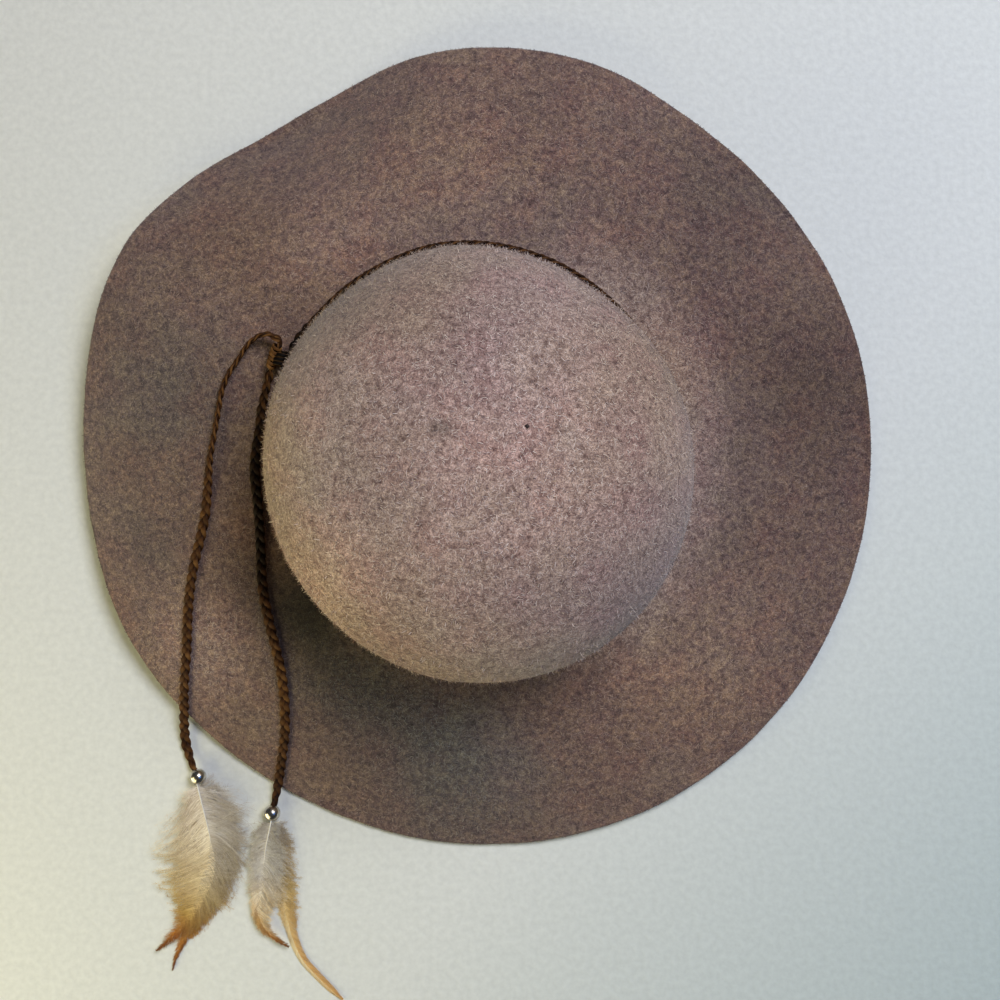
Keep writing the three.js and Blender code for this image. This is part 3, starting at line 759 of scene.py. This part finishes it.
def braided(line, normals, tints, closed=False, width=1.0, thickness=1.0, shade=0.0):
    """Three laces braided flat along a line, each with its own tint from 0, black, to 1, tan, and shade added
    to it along the line as painted light and shade; each lace is also painted paler where it turns at the
    braid's edge and darker where it dips under the others. Width and thickness draw the braid together where
    they are under 1."""
    length = distances_along(line)[-1] + (np.linalg.norm(line[0] - line[-1]) if closed else 0)
    turns = length / (BRAID_PITCH * MM)
    turns = round(turns) if closed else turns
    share = np.arange(len(line)) / (len(line) if closed else len(line) - 1)
    ahead = tangents(line, closed)
    normals = across_of(normals, ahead)
    across = np.cross(ahead, normals)
    parts = []
    for strand, tint in enumerate(tints):
        phase = 2 * math.pi * (turns * share + strand / 3)
        aside = (BRAID_WIDTH - LACE_WIDTH) / 2 * 1.12 * MM * np.sin(phase) * width
        raised = 0.6 * LACE_THICKNESS * MM * np.sin(2 * phase) * thickness
        middle = line + across * aside[:, None] + normals * raised[:, None]
        half_width = LACE_WIDTH / 2 * MM * (0.4 + 0.6 * np.asarray(width))
        half_thickness = LACE_THICKNESS / 2 * MM * (0.4 + 0.6 * np.asarray(thickness))
        # Painted light and shade on each lace: paler where it turns at the braid's edge, darker where it dips
        # under the others
        wear_and_painted_light = 0.3 * (np.abs(np.sin(phase)) - 0.6) + 0.1 * np.sin(2 * phase)
        values = {"tint": tint + shade + wear_and_painted_light, "outwards": np.sin(phase)}
        parts.append(tube(middle, normals, half_width, half_thickness, values, closed=closed))
    return parts


def knot_centre():
    low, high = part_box("band_knot")
    return (np.array(low) + np.array(high)) / 2


def band_line(felt_tree):
    """Middle line of the band, laid round the crown just off the felt, and the way it faces. It stands flat
    on the crown's side, and the knot's pull tips it over towards the brim close by."""
    middle, up = band_plane()
    first = unit(np.cross(up, (0, 1, 0)))
    second = np.cross(up, first)
    line, facing = [], []
    for turn in np.linspace(0, 2 * math.pi, BAND_POINTS, endpoint=False):
        way = first * math.cos(turn) + second * math.sin(turn)
        spot, normal, _, _ = felt_tree.ray_cast(Vector(middle + way * BAND_LAID_FROM * MM), Vector(-way))
        line.append(spot)
        facing.append(normal if normal.dot(Vector(way)) > 0 else -normal)
    line, facing = np.array(line), unit(smoothed(np.array(facing), 8, closed=True))
    line = smoothed(line, 3, closed=True)
    from_knot = (line - knot_centre()) / MM
    behind = ease(-3, 6, from_knot[:, 1])
    pulled = (1 - ease(5, 32, np.linalg.norm(from_knot, axis=1))) * behind
    roll = math.radians(BAND_LEAN_BY_KNOT) * pulled + math.radians(BAND_LEAN)
    half = np.cos(roll) * BRAID_THICKNESS / 2 + np.sin(roll) * BRAID_WIDTH / 2
    line = line + facing * ((TIE_GAP + half) * MM)[:, None]
    return line, facing * np.cos(roll)[:, None] + up * np.sin(roll)[:, None]


def through_bead(route, side, quill):
    """A loose end's route, carried on through its bead to just inside the far face."""
    centre = np.array(BEAD_CENTRES[side]) * MM
    end = unit(np.array(quill[:3]) * MM - centre) * (BEAD_RADIUS - 1) * MM
    return list(route) + [tuple(centre), tuple(centre + end)]


def tie_line(route, roll_start, roll_from, roll_to, top_tree):
    """A loose end laid on the felt or the floor: its middle line, the way its flat side faces, and how wide it
    is along its length, from 1 to less where it is drawn in to go through its bead."""
    line = smooth_route(route, BRAID_STEP * MM)
    along = distances_along(line) / MM
    up = []
    for point in line:
        _, normal, _, distance = top_tree.find_nearest(Vector(point))
        up.append(normal if distance < 6 * MM else Vector(UP))
    ahead = tangents(line)
    up = across_of(smoothed(np.array(up), 8), ahead)
    roll = math.radians(roll_start) * (1 - ease(roll_from, roll_to, along)) + 0.14 * np.sin(along / 9)
    drawn = 1 - 0.45 * ease(along[-1] - 20, along[-1] - 7, along)
    half = np.abs(np.cos(roll)) * BRAID_THICKNESS / 2 + np.abs(np.sin(roll)) * BRAID_WIDTH / 2
    lie = ease(0, 8, along) * (1 - ease(along[-1] - 18, along[-1] - 9, along))
    line = line + up * ((half + TIE_GAP - ROUTE_LIFT) * lie * MM)[:, None]
    line[:, 2] = np.maximum(line[:, 2], (half * drawn + TIE_GAP) * MM)
    line = np.vstack([line[:1], smoothed(line, 2)[1:-1], line[-1:]])
    turned = up * np.cos(roll)[:, None] + np.cross(ahead, up) * np.sin(roll)[:, None]
    return line, turned, drawn


def wound_lace(centre, axis, out, turns, length, wide, high, slant, tint, lace):
    """One lace wound round a length of cord as a slanting spiral, a little unevenly, as a hand pulls it."""
    over = np.cross(axis, out)
    share = np.linspace(0, 1, round(40 * turns))
    angle = 2 * math.pi * turns * share
    place = (share - 0.5) * length + slant * np.cos(angle + 0.6) + 0.18 * np.sin(2.3 * angle)
    size = 1 - 0.2 * np.abs(2 * share - 1) ** 3 + 0.05 * np.sin(1.7 * angle)
    ring = out * (wide * np.cos(angle))[:, None] + over * (high * np.sin(angle))[:, None]
    away = out * (np.cos(angle) / wide)[:, None] + over * (np.sin(angle) / high)[:, None]
    wound = centre + (axis * place[:, None] + ring * size[:, None]) * MM
    values = {"tint": tint + 0.12 * np.sin(1.3 * angle)}
    return tube(wound, away, lace / 2 * MM, WOUND_THICKNESS / 2 * MM, values)


def knot_parts(band):
    """Both loose ends run into each other as one cord, lashed round and round with a narrower lace, and a
    bight of the lace holds them to the band. The cord under the lashing is painted darker and the bight painted
    near black, as shade in the hollows by the band."""
    centre = knot_centre() + np.array(KNOT_SHIFT) * MM
    left, right = np.array(LEFT_TIE_ROUTE[:2]), np.array(RIGHT_TIE_ROUTE[:2])
    core = smooth_route([left[1], left[0], centre, right[0], right[1]], 0.5 * MM)
    axis = unit(left[0] - right[0])
    out = across_of(centre * (1, 1, 0), axis)
    # Painted shade on the cord under the lashing, so that the gaps between its turns show dark
    shade = -0.4 * (1 - ease(3.5, 5.5, np.linalg.norm(core - centre, axis=1) / MM))
    outs = np.broadcast_to(out, core.shape)
    parts = braided(core, outs, (0.45, 0.55, 0.65), width=0.7, thickness=0.8, shade=shade)
    lashing = {"turns": 5.6, "length": 9.6, "wide": 2.2, "high": 3.0, "slant": 1.2, "tint": 0.85}
    parts.append(wound_lace(centre, axis, out, lace=WRAP_WIDTH, **lashing))
    nearest = np.argmin(np.linalg.norm(band - centre, axis=1))
    ahead = tangents(band, closed=True)[nearest]
    wall = across_of(centre * (1, 1, 0), ahead)
    held = (band[nearest] + centre) / 2
    # The bight's tint below 0 paints it near black, as shade in the hollow between the knot and the band
    bight = {"turns": 3.6, "length": 6.6, "wide": 3.0, "high": 2.9, "slant": 0.5, "tint": -0.2}
    parts.append(wound_lace(held, ahead, wall, lace=BIGHT_WIDTH, **bight))
    return parts


# Metal beads


def silvered_metal():
    """Plated metal bead, tumbled to a mirror and worn: bright, with fine rubbing marks and a little brown
    tarnish."""
    material, shader = new_material("tumbled_plated_metal", Metallic=1.0)
    where = add(material, "TexCoord", {}).outputs["Object"]
    tarnish = {"Vector": where, "Scale": per_mm(2.2), "Detail": 3.0}
    tarnish = add(material, "TexNoise", tarnish).outputs["Fac"]
    colour = [(0.35, "#a39a8c"), (0.6, "#d9d5cc")]
    colour = add(material, "ValToRGB", {"Fac": tarnish}, colour).outputs["Color"]
    rubbed = [(0.3, "#9a9a9a"), (0.6, "#767676")]
    rubbed = add(material, "ValToRGB", {"Fac": tarnish}, rubbed).outputs["Color"]
    material.node_tree.links.new(rubbed, shader.inputs["Roughness"])
    marks = add(material, "TexNoise", {"Vector": where, "Scale": per_mm(0.5), "Detail": 2.0}).outputs["Fac"]
    return finish_material(material, shader, colour, marks, 0.01)


def bead_part(centre, axis):
    """A ball turned with a bore through it, and a rounded lip at each end of the bore."""
    lip = BEAD_BORE + BEAD_ROUNDING
    reach = math.sqrt((BEAD_RADIUS - BEAD_ROUNDING) ** 2 - lip ** 2)
    tilt = math.atan2(lip, reach)
    outside = np.linspace(tilt, math.pi - tilt, 26)
    profile = [(BEAD_RADIUS * math.sin(a), BEAD_RADIUS * math.cos(a)) for a in outside]
    far_lip = np.linspace(math.pi - tilt, 1.5 * math.pi, 7)[1:]
    near_lip = np.linspace(-math.pi / 2, tilt, 7)[:-1]
    for end, turns in ((-reach, far_lip), (reach, near_lip)):
        for turn in turns:
            profile.append((lip + BEAD_ROUNDING * math.sin(turn), end + BEAD_ROUNDING * math.cos(turn)))
    profile = np.array(profile)
    first = across_of(UP, axis)
    second = np.cross(axis, first)
    angle = 2 * math.pi * np.arange(40) / 40
    ring = first * np.cos(angle)[:, None] + second * np.sin(angle)[:, None]
    points = ring[None] * profile[:, None, None, 0] + axis * profile[:, None, None, 1]
    rows, columns = len(profile), len(angle)
    row, column = np.meshgrid(np.arange(rows), np.arange(columns), indexing="ij")
    here, after, beside = row * columns, (row + 1) % rows * columns, (column + 1) % columns
    corners = [here + column, after + column, after + beside, here + beside]
    faces = np.stack(corners, axis=-1).reshape(-1, 4).tolist()
    return (centre + points * MM).reshape(-1, 3), faces, {}, 0


def make_bead(side, route, quill, material):
    """The bead of one loose end, with its bore in line from the cord to the quills."""
    centre = np.array(BEAD_CENTRES[side]) * MM
    axis = unit(np.array(quill[:3]) * MM - np.array(route[-1]))
    parts = [bead_part(centre, axis)]
    return new_piece("metal_bead_" + side, [material], parts, "bead_" + side)


# Feathers


class Shaft:
    """A feather's middle line, and how far its barbs reach to each side, in metres."""

    def __init__(self, rows):
        rows = np.array(rows, float) * MM
        self.line = smooth_route(rows[:, :3], 0.6 * MM)
        self.along = distances_along(self.line)
        self.length = self.along[-1]
        self.ahead = tangents(self.line)[0]
        self.side = unit(np.cross(UP, tangents(self.line)))
        marks = distances_along(rows[:, :3])
        self.marks = marks / marks[-1] * self.length
        self.reaches = {1: rows[:, 3], -1: rows[:, 4]}

    def reach(self, distance, side):
        return np.interp(distance, self.marks, self.reaches[side])

    def place(self, distance, aside, rise):
        """Points so far along the shaft, or before its quill where under 0, aside of it and above it."""
        spots = on_line(distance, self.along, self.line) + self.ahead * np.minimum(distance, 0)[..., None]
        ways = unit(on_line(distance, self.along, self.side))
        return spots + ways * aside[..., None] + UP * rise[..., None]


def barbs(rng, shaft, side, starts, slants, look):
    """Barbs on one side of the shaft, drawn together in locks. Slants are their angles off it, in degrees, at
    the quill and at the tip. Gives their lines, how far out on its barb each point is, their values, and
    which of them stray out of the vane."""
    count = len(starts)
    share = starts / shaft.length
    loose = 1 - 0.85 * ease(look["neat_from"] - 0.12, look["neat_from"] + 0.05, share)
    lock_size = look["lock"] * MM
    lock = np.maximum(np.floor(starts / lock_size + rng.uniform(-0.4, 0.4, count)), 0).astype(int)
    moods = rng.normal(0, 1, (3, lock.max() + 1))[:, lock] * loose
    single = rng.normal(size=(3, count)) * loose
    slant = np.radians(slants[0] + (slants[1] - slants[0]) * share)
    slant = slant * (1 + 0.07 * moods[0] + 0.07 * single[0])
    slant = np.clip(slant, math.radians(11), math.radians(125))
    reach = shaft.reach(starts, side)
    for _ in range(3):
        reach = shaft.reach(np.minimum(starts + reach / np.tan(slant), shaft.length), side)
    run = np.minimum(reach / np.tan(slant), shaft.length - starts)
    stray = rng.random(count) < look["stray"] * loose
    longer = rng.uniform(1.0, look["stray_reach"][side], count)
    shorter = 1 - rng.uniform(0.0, 0.3, count) * loose
    reach = reach * (1 + 0.06 * moods[1]) * np.where(stray, longer, shorter)
    over_shaft = np.minimum(look["crossing"] * MM, 0.3 * reach) * rng.random(count)
    over_shaft = over_shaft * ease(0.25, 0.5, share) * loose
    t = np.linspace(0, 1, look["sections"])
    gather = np.where(stray, 0.1, look["gather"]) * loose
    distance = starts[:, None] + run[:, None] * t ** 1.25
    distance = distance + ((lock + 0.5) * lock_size - starts)[:, None] * gather[:, None] * t ** 2
    wave = look["wave"] * MM * single[1][:, None] * np.sin(t * math.pi * 1.5)
    aside = side * (reach[:, None] * t ** 0.92 - over_shaft[:, None] * (1 - t)) + wave * t
    rise = -look["droop"] * t ** 1.6 + (0.35 * moods[2] + 0.3 * single[2])[:, None] * t
    lines = shaft.place(np.minimum(distance, 0.99 * shaft.length), aside, rise * MM)
    lines[..., 2] = np.maximum(lines[..., 2], 0.2 * MM)
    tone = np.clip(0.5 + 0.2 * moods[0] + 0.18 * single[0], 0, 1)[:, None]
    values = {"along": distance / shaft.length, "out": t[None], "side": (side + 1) / 2, "tone": tone}
    return lines, np.broadcast_to(t, lines.shape[:2]), values, stray


def flat_across(rng, lines):
    """The way each strip widens: level, but tipped a little at random so that neighbours catch the light
    differently."""
    ahead = unit(np.gradient(lines, axis=1))
    level = unit(np.cross(UP, ahead))
    tip = rng.normal(0, 0.35, len(lines))[:, None, None]
    return unit(level + UP * tip)


def barbules(rng, lines, values, each, length, first=0.12):
    """Fine hairs along barbs from a share of their length outwards, pointing every way."""
    count, sections = lines.shape[:2]
    where = rng.uniform(first, 0.98, (count, each)) * (sections - 1)
    step = where.astype(int)
    rest = (where - step)[..., None]
    row = np.arange(count)[:, None]
    foot = lines[row, step] * (1 - rest) + lines[row, step + 1] * rest
    ahead = unit(lines[row, step + 1] - lines[row, step])
    way = unit(ahead * 0.7 + rng.normal(0, 0.75, foot.shape) * (1, 1, 0.45))
    bend = rng.normal(0, 0.3, foot.shape) * (1, 1, 0.4)
    size = (rng.uniform(0.5, 1.0, (count, each)) * length * MM)[..., None]
    hairs = np.stack([foot, foot + way * size * 0.5, foot + (way + bend) * size], axis=2).reshape(-1, 3, 3)
    hairs[..., 2] = np.maximum(hairs[..., 2], 0.15 * MM)
    along = np.broadcast_to(values["along"], (count, sections))[row, step].reshape(-1, 1)
    tone = np.repeat(values["tone"], each, axis=1).reshape(-1, 1)
    out = (where / (sections - 1)).reshape(-1, 1)
    spread = {"along": along, "out": out, "side": values["side"], "tone": tone}
    widths = np.broadcast_to(np.array([0.11, 0.08, 0.03]) * MM, hairs.shape[:2])
    return ribbons(hairs, flat_across(rng, hairs), widths, spread)


def feather_parts(rows, seed, look):
    """Vane of barbs in layers with fine hairs on their ends, loose down by the quill, and the shaft itself."""
    rng = np.random.default_rng(seed)
    shaft = Shaft(rows)
    last = shaft.length * 0.985
    parts = []
    for side in (1, -1):
        for _ in range(look["layers"]):
            starts = np.arange(0.5 * MM, last, look["spacing"] * MM)
            starts = np.minimum(starts + rng.uniform(0, look["spacing"] * MM, len(starts)), last)
            lines, t, values, stray = barbs(rng, shaft, side, starts, look["slants"], look)
            widths = look["width"] * MM * (1 - 0.8 * t) * np.where(stray, 0.6, 1.0)[:, None]
            parts.append(ribbons(lines, flat_across(rng, lines), widths, values))
            soft = starts < min(look["neat_from"], 0.75) * shaft.length
            for key in ("along", "tone"):
                values[key] = values[key][soft]
            parts.append(barbules(rng, lines[soft], values, look["edge_hairs"], 1.5, first=0.45))
        starts = rng.uniform(0.0, look["down_to"], look["down"]) * shaft.length
        loose = dict(look, gather=0.15, wave=1.3, stray=0.35)
        lines, t, values, stray = barbs(rng, shaft, side, starts, look["down_slants"][side], loose)
        parts.append(ribbons(lines, flat_across(rng, lines), 0.16 * MM * (1 - 0.7 * t), values))
        parts.append(barbules(rng, lines, values, look["barbules"], look["barbule_length"]))
    stem = shaft.line[: int(len(shaft.line) * 0.94)]
    share = np.linspace(0, 1, len(stem) + 1)
    inside = stem[0] - shaft.ahead * 2.2 * MM
    rise = 0.15 - 0.6 * ease(*look["shaft_sinks"], share)
    stem = np.vstack([inside[None], stem]) + UP * rise[:, None] * MM
    radius = (0.36 - 0.26 * share ** 0.6) * MM
    values = {"along": share, "tone": 0.5, "out": 0.0, "side": 0.5}
    parts.append(tube(stem, np.broadcast_to(UP, stem.shape), radius, radius, values, 1, sides=8))
    return parts


def vane(name, left, right, fringe, fringe_strength):
    """Feather barbs: keratin in its natural colours, matt and a little silky, each side of the shaft its own
    run of colour from quill to tip, with a darker fringe where the barbs end."""
    material, shader = new_material(
        name, Roughness=0.62, Specular_IOR_Level=0.25, Sheen_Weight=0.25, Sheen_Roughness=0.4
    )
    where = add(material, "TexCoord", {}).outputs["Object"]
    read = {
        key: add(material, "Attribute", {}, attribute_name=key).outputs["Fac"]
        for key in ("along", "out", "side", "tone")
    }
    left = add(material, "ValToRGB", {"Fac": read["along"]}, left).outputs["Color"]
    right = add(material, "ValToRGB", {"Fac": read["along"]}, right).outputs["Color"]
    colour = {MIX_FACTOR: read["side"], MIX_UNDER: left, MIX_OVER: right}
    colour = add(material, "Mix", colour, data_type="RGBA").outputs[MIX_COLOUR]
    ends = [(0.62, "#000000"), (1.0, fringe_strength)]
    ends = add(material, "ValToRGB", {"Fac": read["out"]}, ends).outputs["Color"]
    colour = {MIX_FACTOR: ends, MIX_UNDER: colour, MIX_OVER: linear(fringe)}
    colour = add(material, "Mix", colour, data_type="RGBA").outputs[MIX_COLOUR]
    tone = [(0.0, "#bfb1a0"), (0.75, "#ffffff")]
    tone = add(material, "ValToRGB", {"Fac": read["tone"]}, tone).outputs["Color"]
    colour = {MIX_FACTOR: 0.9, MIX_UNDER: colour, MIX_OVER: tone}
    colour = add(material, "Mix", colour, data_type="RGBA", blend_type="MULTIPLY").outputs[MIX_COLOUR]
    grain = add(material, "TexNoise", {"Vector": where, "Scale": per_mm(0.6)}).outputs["Fac"]
    return finish_material(material, shader, colour, grain, 0.05)


def quill_horn():
    """Feather shaft: pale horn with a soft gloss, clear at the quill and yellower towards the tip."""
    material, shader = new_material("quill_horn", Roughness=0.35)
    where = add(material, "TexCoord", {}).outputs["Object"]
    along = add(material, "Attribute", {}, attribute_name="along").outputs["Fac"]
    colour = [(0.0, "#f4efe4"), (1.0, "#a0723e"), (0.3, "#e6ddcc"), (0.5, "#c4ad82")]
    colour = add(material, "ValToRGB", {"Fac": along}, colour).outputs["Color"]
    grain = add(material, "TexNoise", {"Vector": where, "Scale": per_mm(0.5)}).outputs["Fac"]
    return finish_material(material, shader, colour, grain, 0.02)


# How each kind of feather grows. Sizes are in millimetres and slants in degrees, and neat_from, down_to and
# shaft_sinks are shares of the shaft's length
BROAD = {
    "layers": 2, "spacing": 0.22, "width": 0.28, "sections": 8, "slants": (62, 24), "neat_from": 2.0,
    "lock": 4.5, "gather": 0.4, "wave": 0.3, "droop": 0.9, "crossing": 3.0, "edge_hairs": 7,
    "stray": 0.18, "stray_reach": {1: 1.3, -1: 1.5}, "shaft_sinks": (0.15, 0.5),
    "down": 130, "down_to": 0.6, "down_slants": {1: (112, 50), -1: (72, 45)},
    "barbules": 26, "barbule_length": 2.4,
}
SLENDER = dict(
    BROAD, lock=3.0, slants=(56, 17), down_to=0.5, down=90, down_slants={1: (92, 45), -1: (80, 45)},
    barbule_length=2.0, spacing=0.28, crossing=1.5, stray_reach={1: 1.3, -1: 1.3},
)
LONG = dict(SLENDER, neat_from=0.5, spacing=0.3, shaft_sinks=(0.0, 0.25))


def make_feathers():
    """The four feathers by name, each as one piece."""
    horn = quill_horn()
    looks = {
        "feather_left_upper": (LEFT_UPPER_SHAFT, "pale_feather", 21, BROAD, vane(
            "cream_and_grey_barbs",
            [(0.0, "#fff4e2"), (1.0, "#784212"), (0.3, "#fff0cf"), (0.55, "#f8e2ae"), (0.72, "#d6b162"),
             (0.84, "#c98435")],
            [(0.0, "#e4dcd0"), (1.0, "#784212"), (0.42, "#d6c9af"), (0.6, "#d5bd89"), (0.74, "#c3984e"),
             (0.85, "#a8662a")],
            "#a89468", "#808080",
        )),
        "feather_left_lower": (LEFT_LOWER_SHAFT, "golden_feather", 22, BROAD, vane(
            "golden_barbs",
            [(0.0, "#e8dac6"), (1.0, "#6a3618"), (0.4, "#f2dcb2"), (0.68, "#dfb464"), (0.85, "#c8853a")],
            [(0.0, "#c8c0b6"), (1.0, "#6a3618"), (0.4, "#d0c4a8"), (0.66, "#d2a85e"), (0.85, "#b4742e")],
            "#b47834", "#808080",
        )),
        "feather_right_upper": (RIGHT_UPPER_SHAFT, "pale_feather", 23, SLENDER, vane(
            "grey_and_brown_barbs",
            [(0.0, "#c8c0b4"), (1.0, "#6a3c1a"), (0.4, "#e4ddd0"), (0.55, "#fdeed2"), (0.7, "#e6bb78"),
             (0.85, "#bd7c38")],
            [(0.0, "#c4bcaa"), (1.0, "#6a3c1a"), (0.36, "#e0d8c6"), (0.52, "#f8e8c6"), (0.74, "#f4d9a2"),
             (0.9, "#b87a34")],
            "#c4b490", "#505050",
        )),
        "feather_right_lower": (RIGHT_LOWER_SHAFT, "golden_feather", 24, LONG, vane(
            "long_golden_barbs",
            [(0.0, "#d0c6b8"), (1.0, "#f8d294"), (0.25, "#e0cca2"), (0.45, "#f8dca0"), (0.7, "#ffecc0")],
            [(0.0, "#c8bca6"), (1.0, "#e8b468"), (0.18, "#d8c298"), (0.35, "#ecd08c"), (0.7, "#f4c478")],
            "#d8b070", "#505050",
        )),
    }
    pieces = {}
    for node, (rows, slot, seed, look, barb_material) in looks.items():
        name = node.replace("feather", "barbed_feather")
        pieces[node] = new_piece(name, [barb_material, horn], feather_parts(rows, seed, look), node)
    return pieces


def make_cord(points, faces):
    """The band, the knot and both loose ends with what hangs on them."""
    leather = waxed_leather()
    tree = BVHTree.FromPolygons(points.tolist(), faces)
    corners, normals, _ = split_faces(points, faces)
    top = corners[(normals[:, 2] > 0.3) & outer_share(corners, normals)]
    top_faces = np.arange(len(top) * 3).reshape(-1, 3).tolist()
    top_tree = BVHTree.FromPolygons(top.reshape(-1, 3).tolist(), top_faces)
    band, facing = band_line(tree)
    # Painted shade: the band is blackened close by the knot, in the hollow behind it
    painted_shade_by_knot = 1 - ease(7, 24, np.linalg.norm(band - knot_centre(), axis=1) / MM)
    parts = braided(band, facing, (0.28, 0.38, 0.5), closed=True, shade=-0.5 * painted_shade_by_knot)
    new_piece("braided_band", [leather], parts, "hat_band")
    new_piece("wound_knot", [leather], knot_parts(band), "band_knot")
    metal = silvered_metal()
    ties = {
        "left": (LEFT_TIE_ROUTE, LEFT_UPPER_SHAFT[0], 65, 30, 130, (0.48, 0.54, 0.62)),
        "right": (RIGHT_TIE_ROUTE, RIGHT_UPPER_SHAFT[0], 35, 5, 28, (0.38, 0.44, 0.52)),
    }
    for side, (route, quill, roll, roll_from, roll_to, tints) in ties.items():
        whole_route = through_bead(route, side, quill)
        line, flat_side, drawn = tie_line(whole_route, roll, roll_from, roll_to, top_tree)
        places, shades = zip(*TIE_PAINTED_LIGHT_AND_SHADE[side])
        shade = np.interp(distances_along(line) / MM, places, shades)
        parts = braided(line, flat_side, tints, width=drawn, thickness=(1 + drawn) / 2, shade=shade)
        tie = new_piece("braided_tie_" + side, [leather], parts, "tie_" + side)
        bead = make_bead(side, route, quill, metal)


# Light and floor, in metres

FLOOR_HALF = 1.6
FLOOR_DROP = 0.0003
# Columns: name, place, size, power in watts, linear colour
LIGHTS = [
    ("window", (0.63, 0.67, 1.31), 0.7, 21.2, (0.93, 0.95, 1.0)),
    ("blue_sky", (0.92, 0.0, 1.31), 0.7, 3.0, (0.05, 0.28, 1.0)),
    ("warm_lamp", (-0.55, -0.50, 0.22), 0.6, 3.9, (1.0, 0.92, 0.52)),
]


def light_scene():
    for name, place, size, power, colour in LIGHTS:
        lamp = bpy.data.lights.new(name, "AREA")
        lamp.size = size
        lamp.energy = power
        lamp.color = colour
        stand = bpy.data.objects.new(name, lamp)
        stand.location = place
        stand.rotation_euler = (CAMERA_AIM - Vector(place)).to_track_quat("-Z", "Y").to_euler()
        bpy.context.scene.collection.objects.link(stand)
    world = bpy.data.worlds.new("room")
    world.use_nodes = True
    sky = world.node_tree.nodes["Background"]
    sky.inputs["Color"].default_value = linear("#dfe4e8")
    sky.inputs["Strength"].default_value = 0.06
    bpy.context.scene.world = world
    bpy.context.scene.view_settings.view_transform = "Standard"


def lay_floor():
    """Plain painted surface, pale and dull, with a faint roller texture, and painted shade that makes it greyer
    towards its front right.
    """
    material, shader = new_material("painted_floor", Roughness=0.8)
    where = add(material, "TexCoord", {}).outputs["Object"]
    # Painted shade: a colour ramp across the floor, greyer and bluer towards its front right, where the light
    # falls off
    lean = {0: where, 1: (1.2, -0.96, 0.0)}
    lean = add(material, "VectorMath", lean, operation="DOT_PRODUCT").outputs["Value"]
    lean = add(material, "Math", {0: lean, 1: 0.45}, operation="ADD").outputs["Value"]
    paint_and_shade = [(0.0, "#e9e7dc"), (1.0, "#c8d3cd"), (0.65, "#e6e7e0")]
    paint_and_shade = add(material, "ValToRGB", {"Fac": lean}, paint_and_shade).outputs["Color"]
    stipple = add(material, "TexNoise", {"Vector": where, "Scale": per_mm(3), "Detail": 3.0}).outputs["Fac"]
    speckle = [(0.3, "#f4f4f4"), (0.7, "#ffffff")]
    speckle = add(material, "ValToRGB", {"Fac": stipple}, speckle).outputs["Color"]
    colour = {MIX_FACTOR: 1.0, MIX_UNDER: paint_and_shade, MIX_OVER: speckle}
    colour = add(material, "Mix", colour, data_type="RGBA", blend_type="MULTIPLY").outputs[MIX_COLOUR]
    finish_material(material, shader, colour, stipple, 0.3)
    mesh = bpy.data.meshes.new("floor")
    square = ((-1, -1), (1, -1), (1, 1), (-1, 1))
    corners = [(x * FLOOR_HALF, y * FLOOR_HALF, -FLOOR_DROP) for x, y in square]
    mesh.from_pydata(corners, [], [(0, 1, 2, 3)])
    mesh.materials.append(material)
    floor = bpy.data.objects.new("floor", mesh)
    bpy.context.scene.collection.objects.link(floor)


def build():
    make_camera()
    points, faces, outside = felt_form()
    feathers = make_feathers()
    make_cord(points, faces)
    make_felt(points, faces, outside)
    light_scene()
    lay_floor()


build()
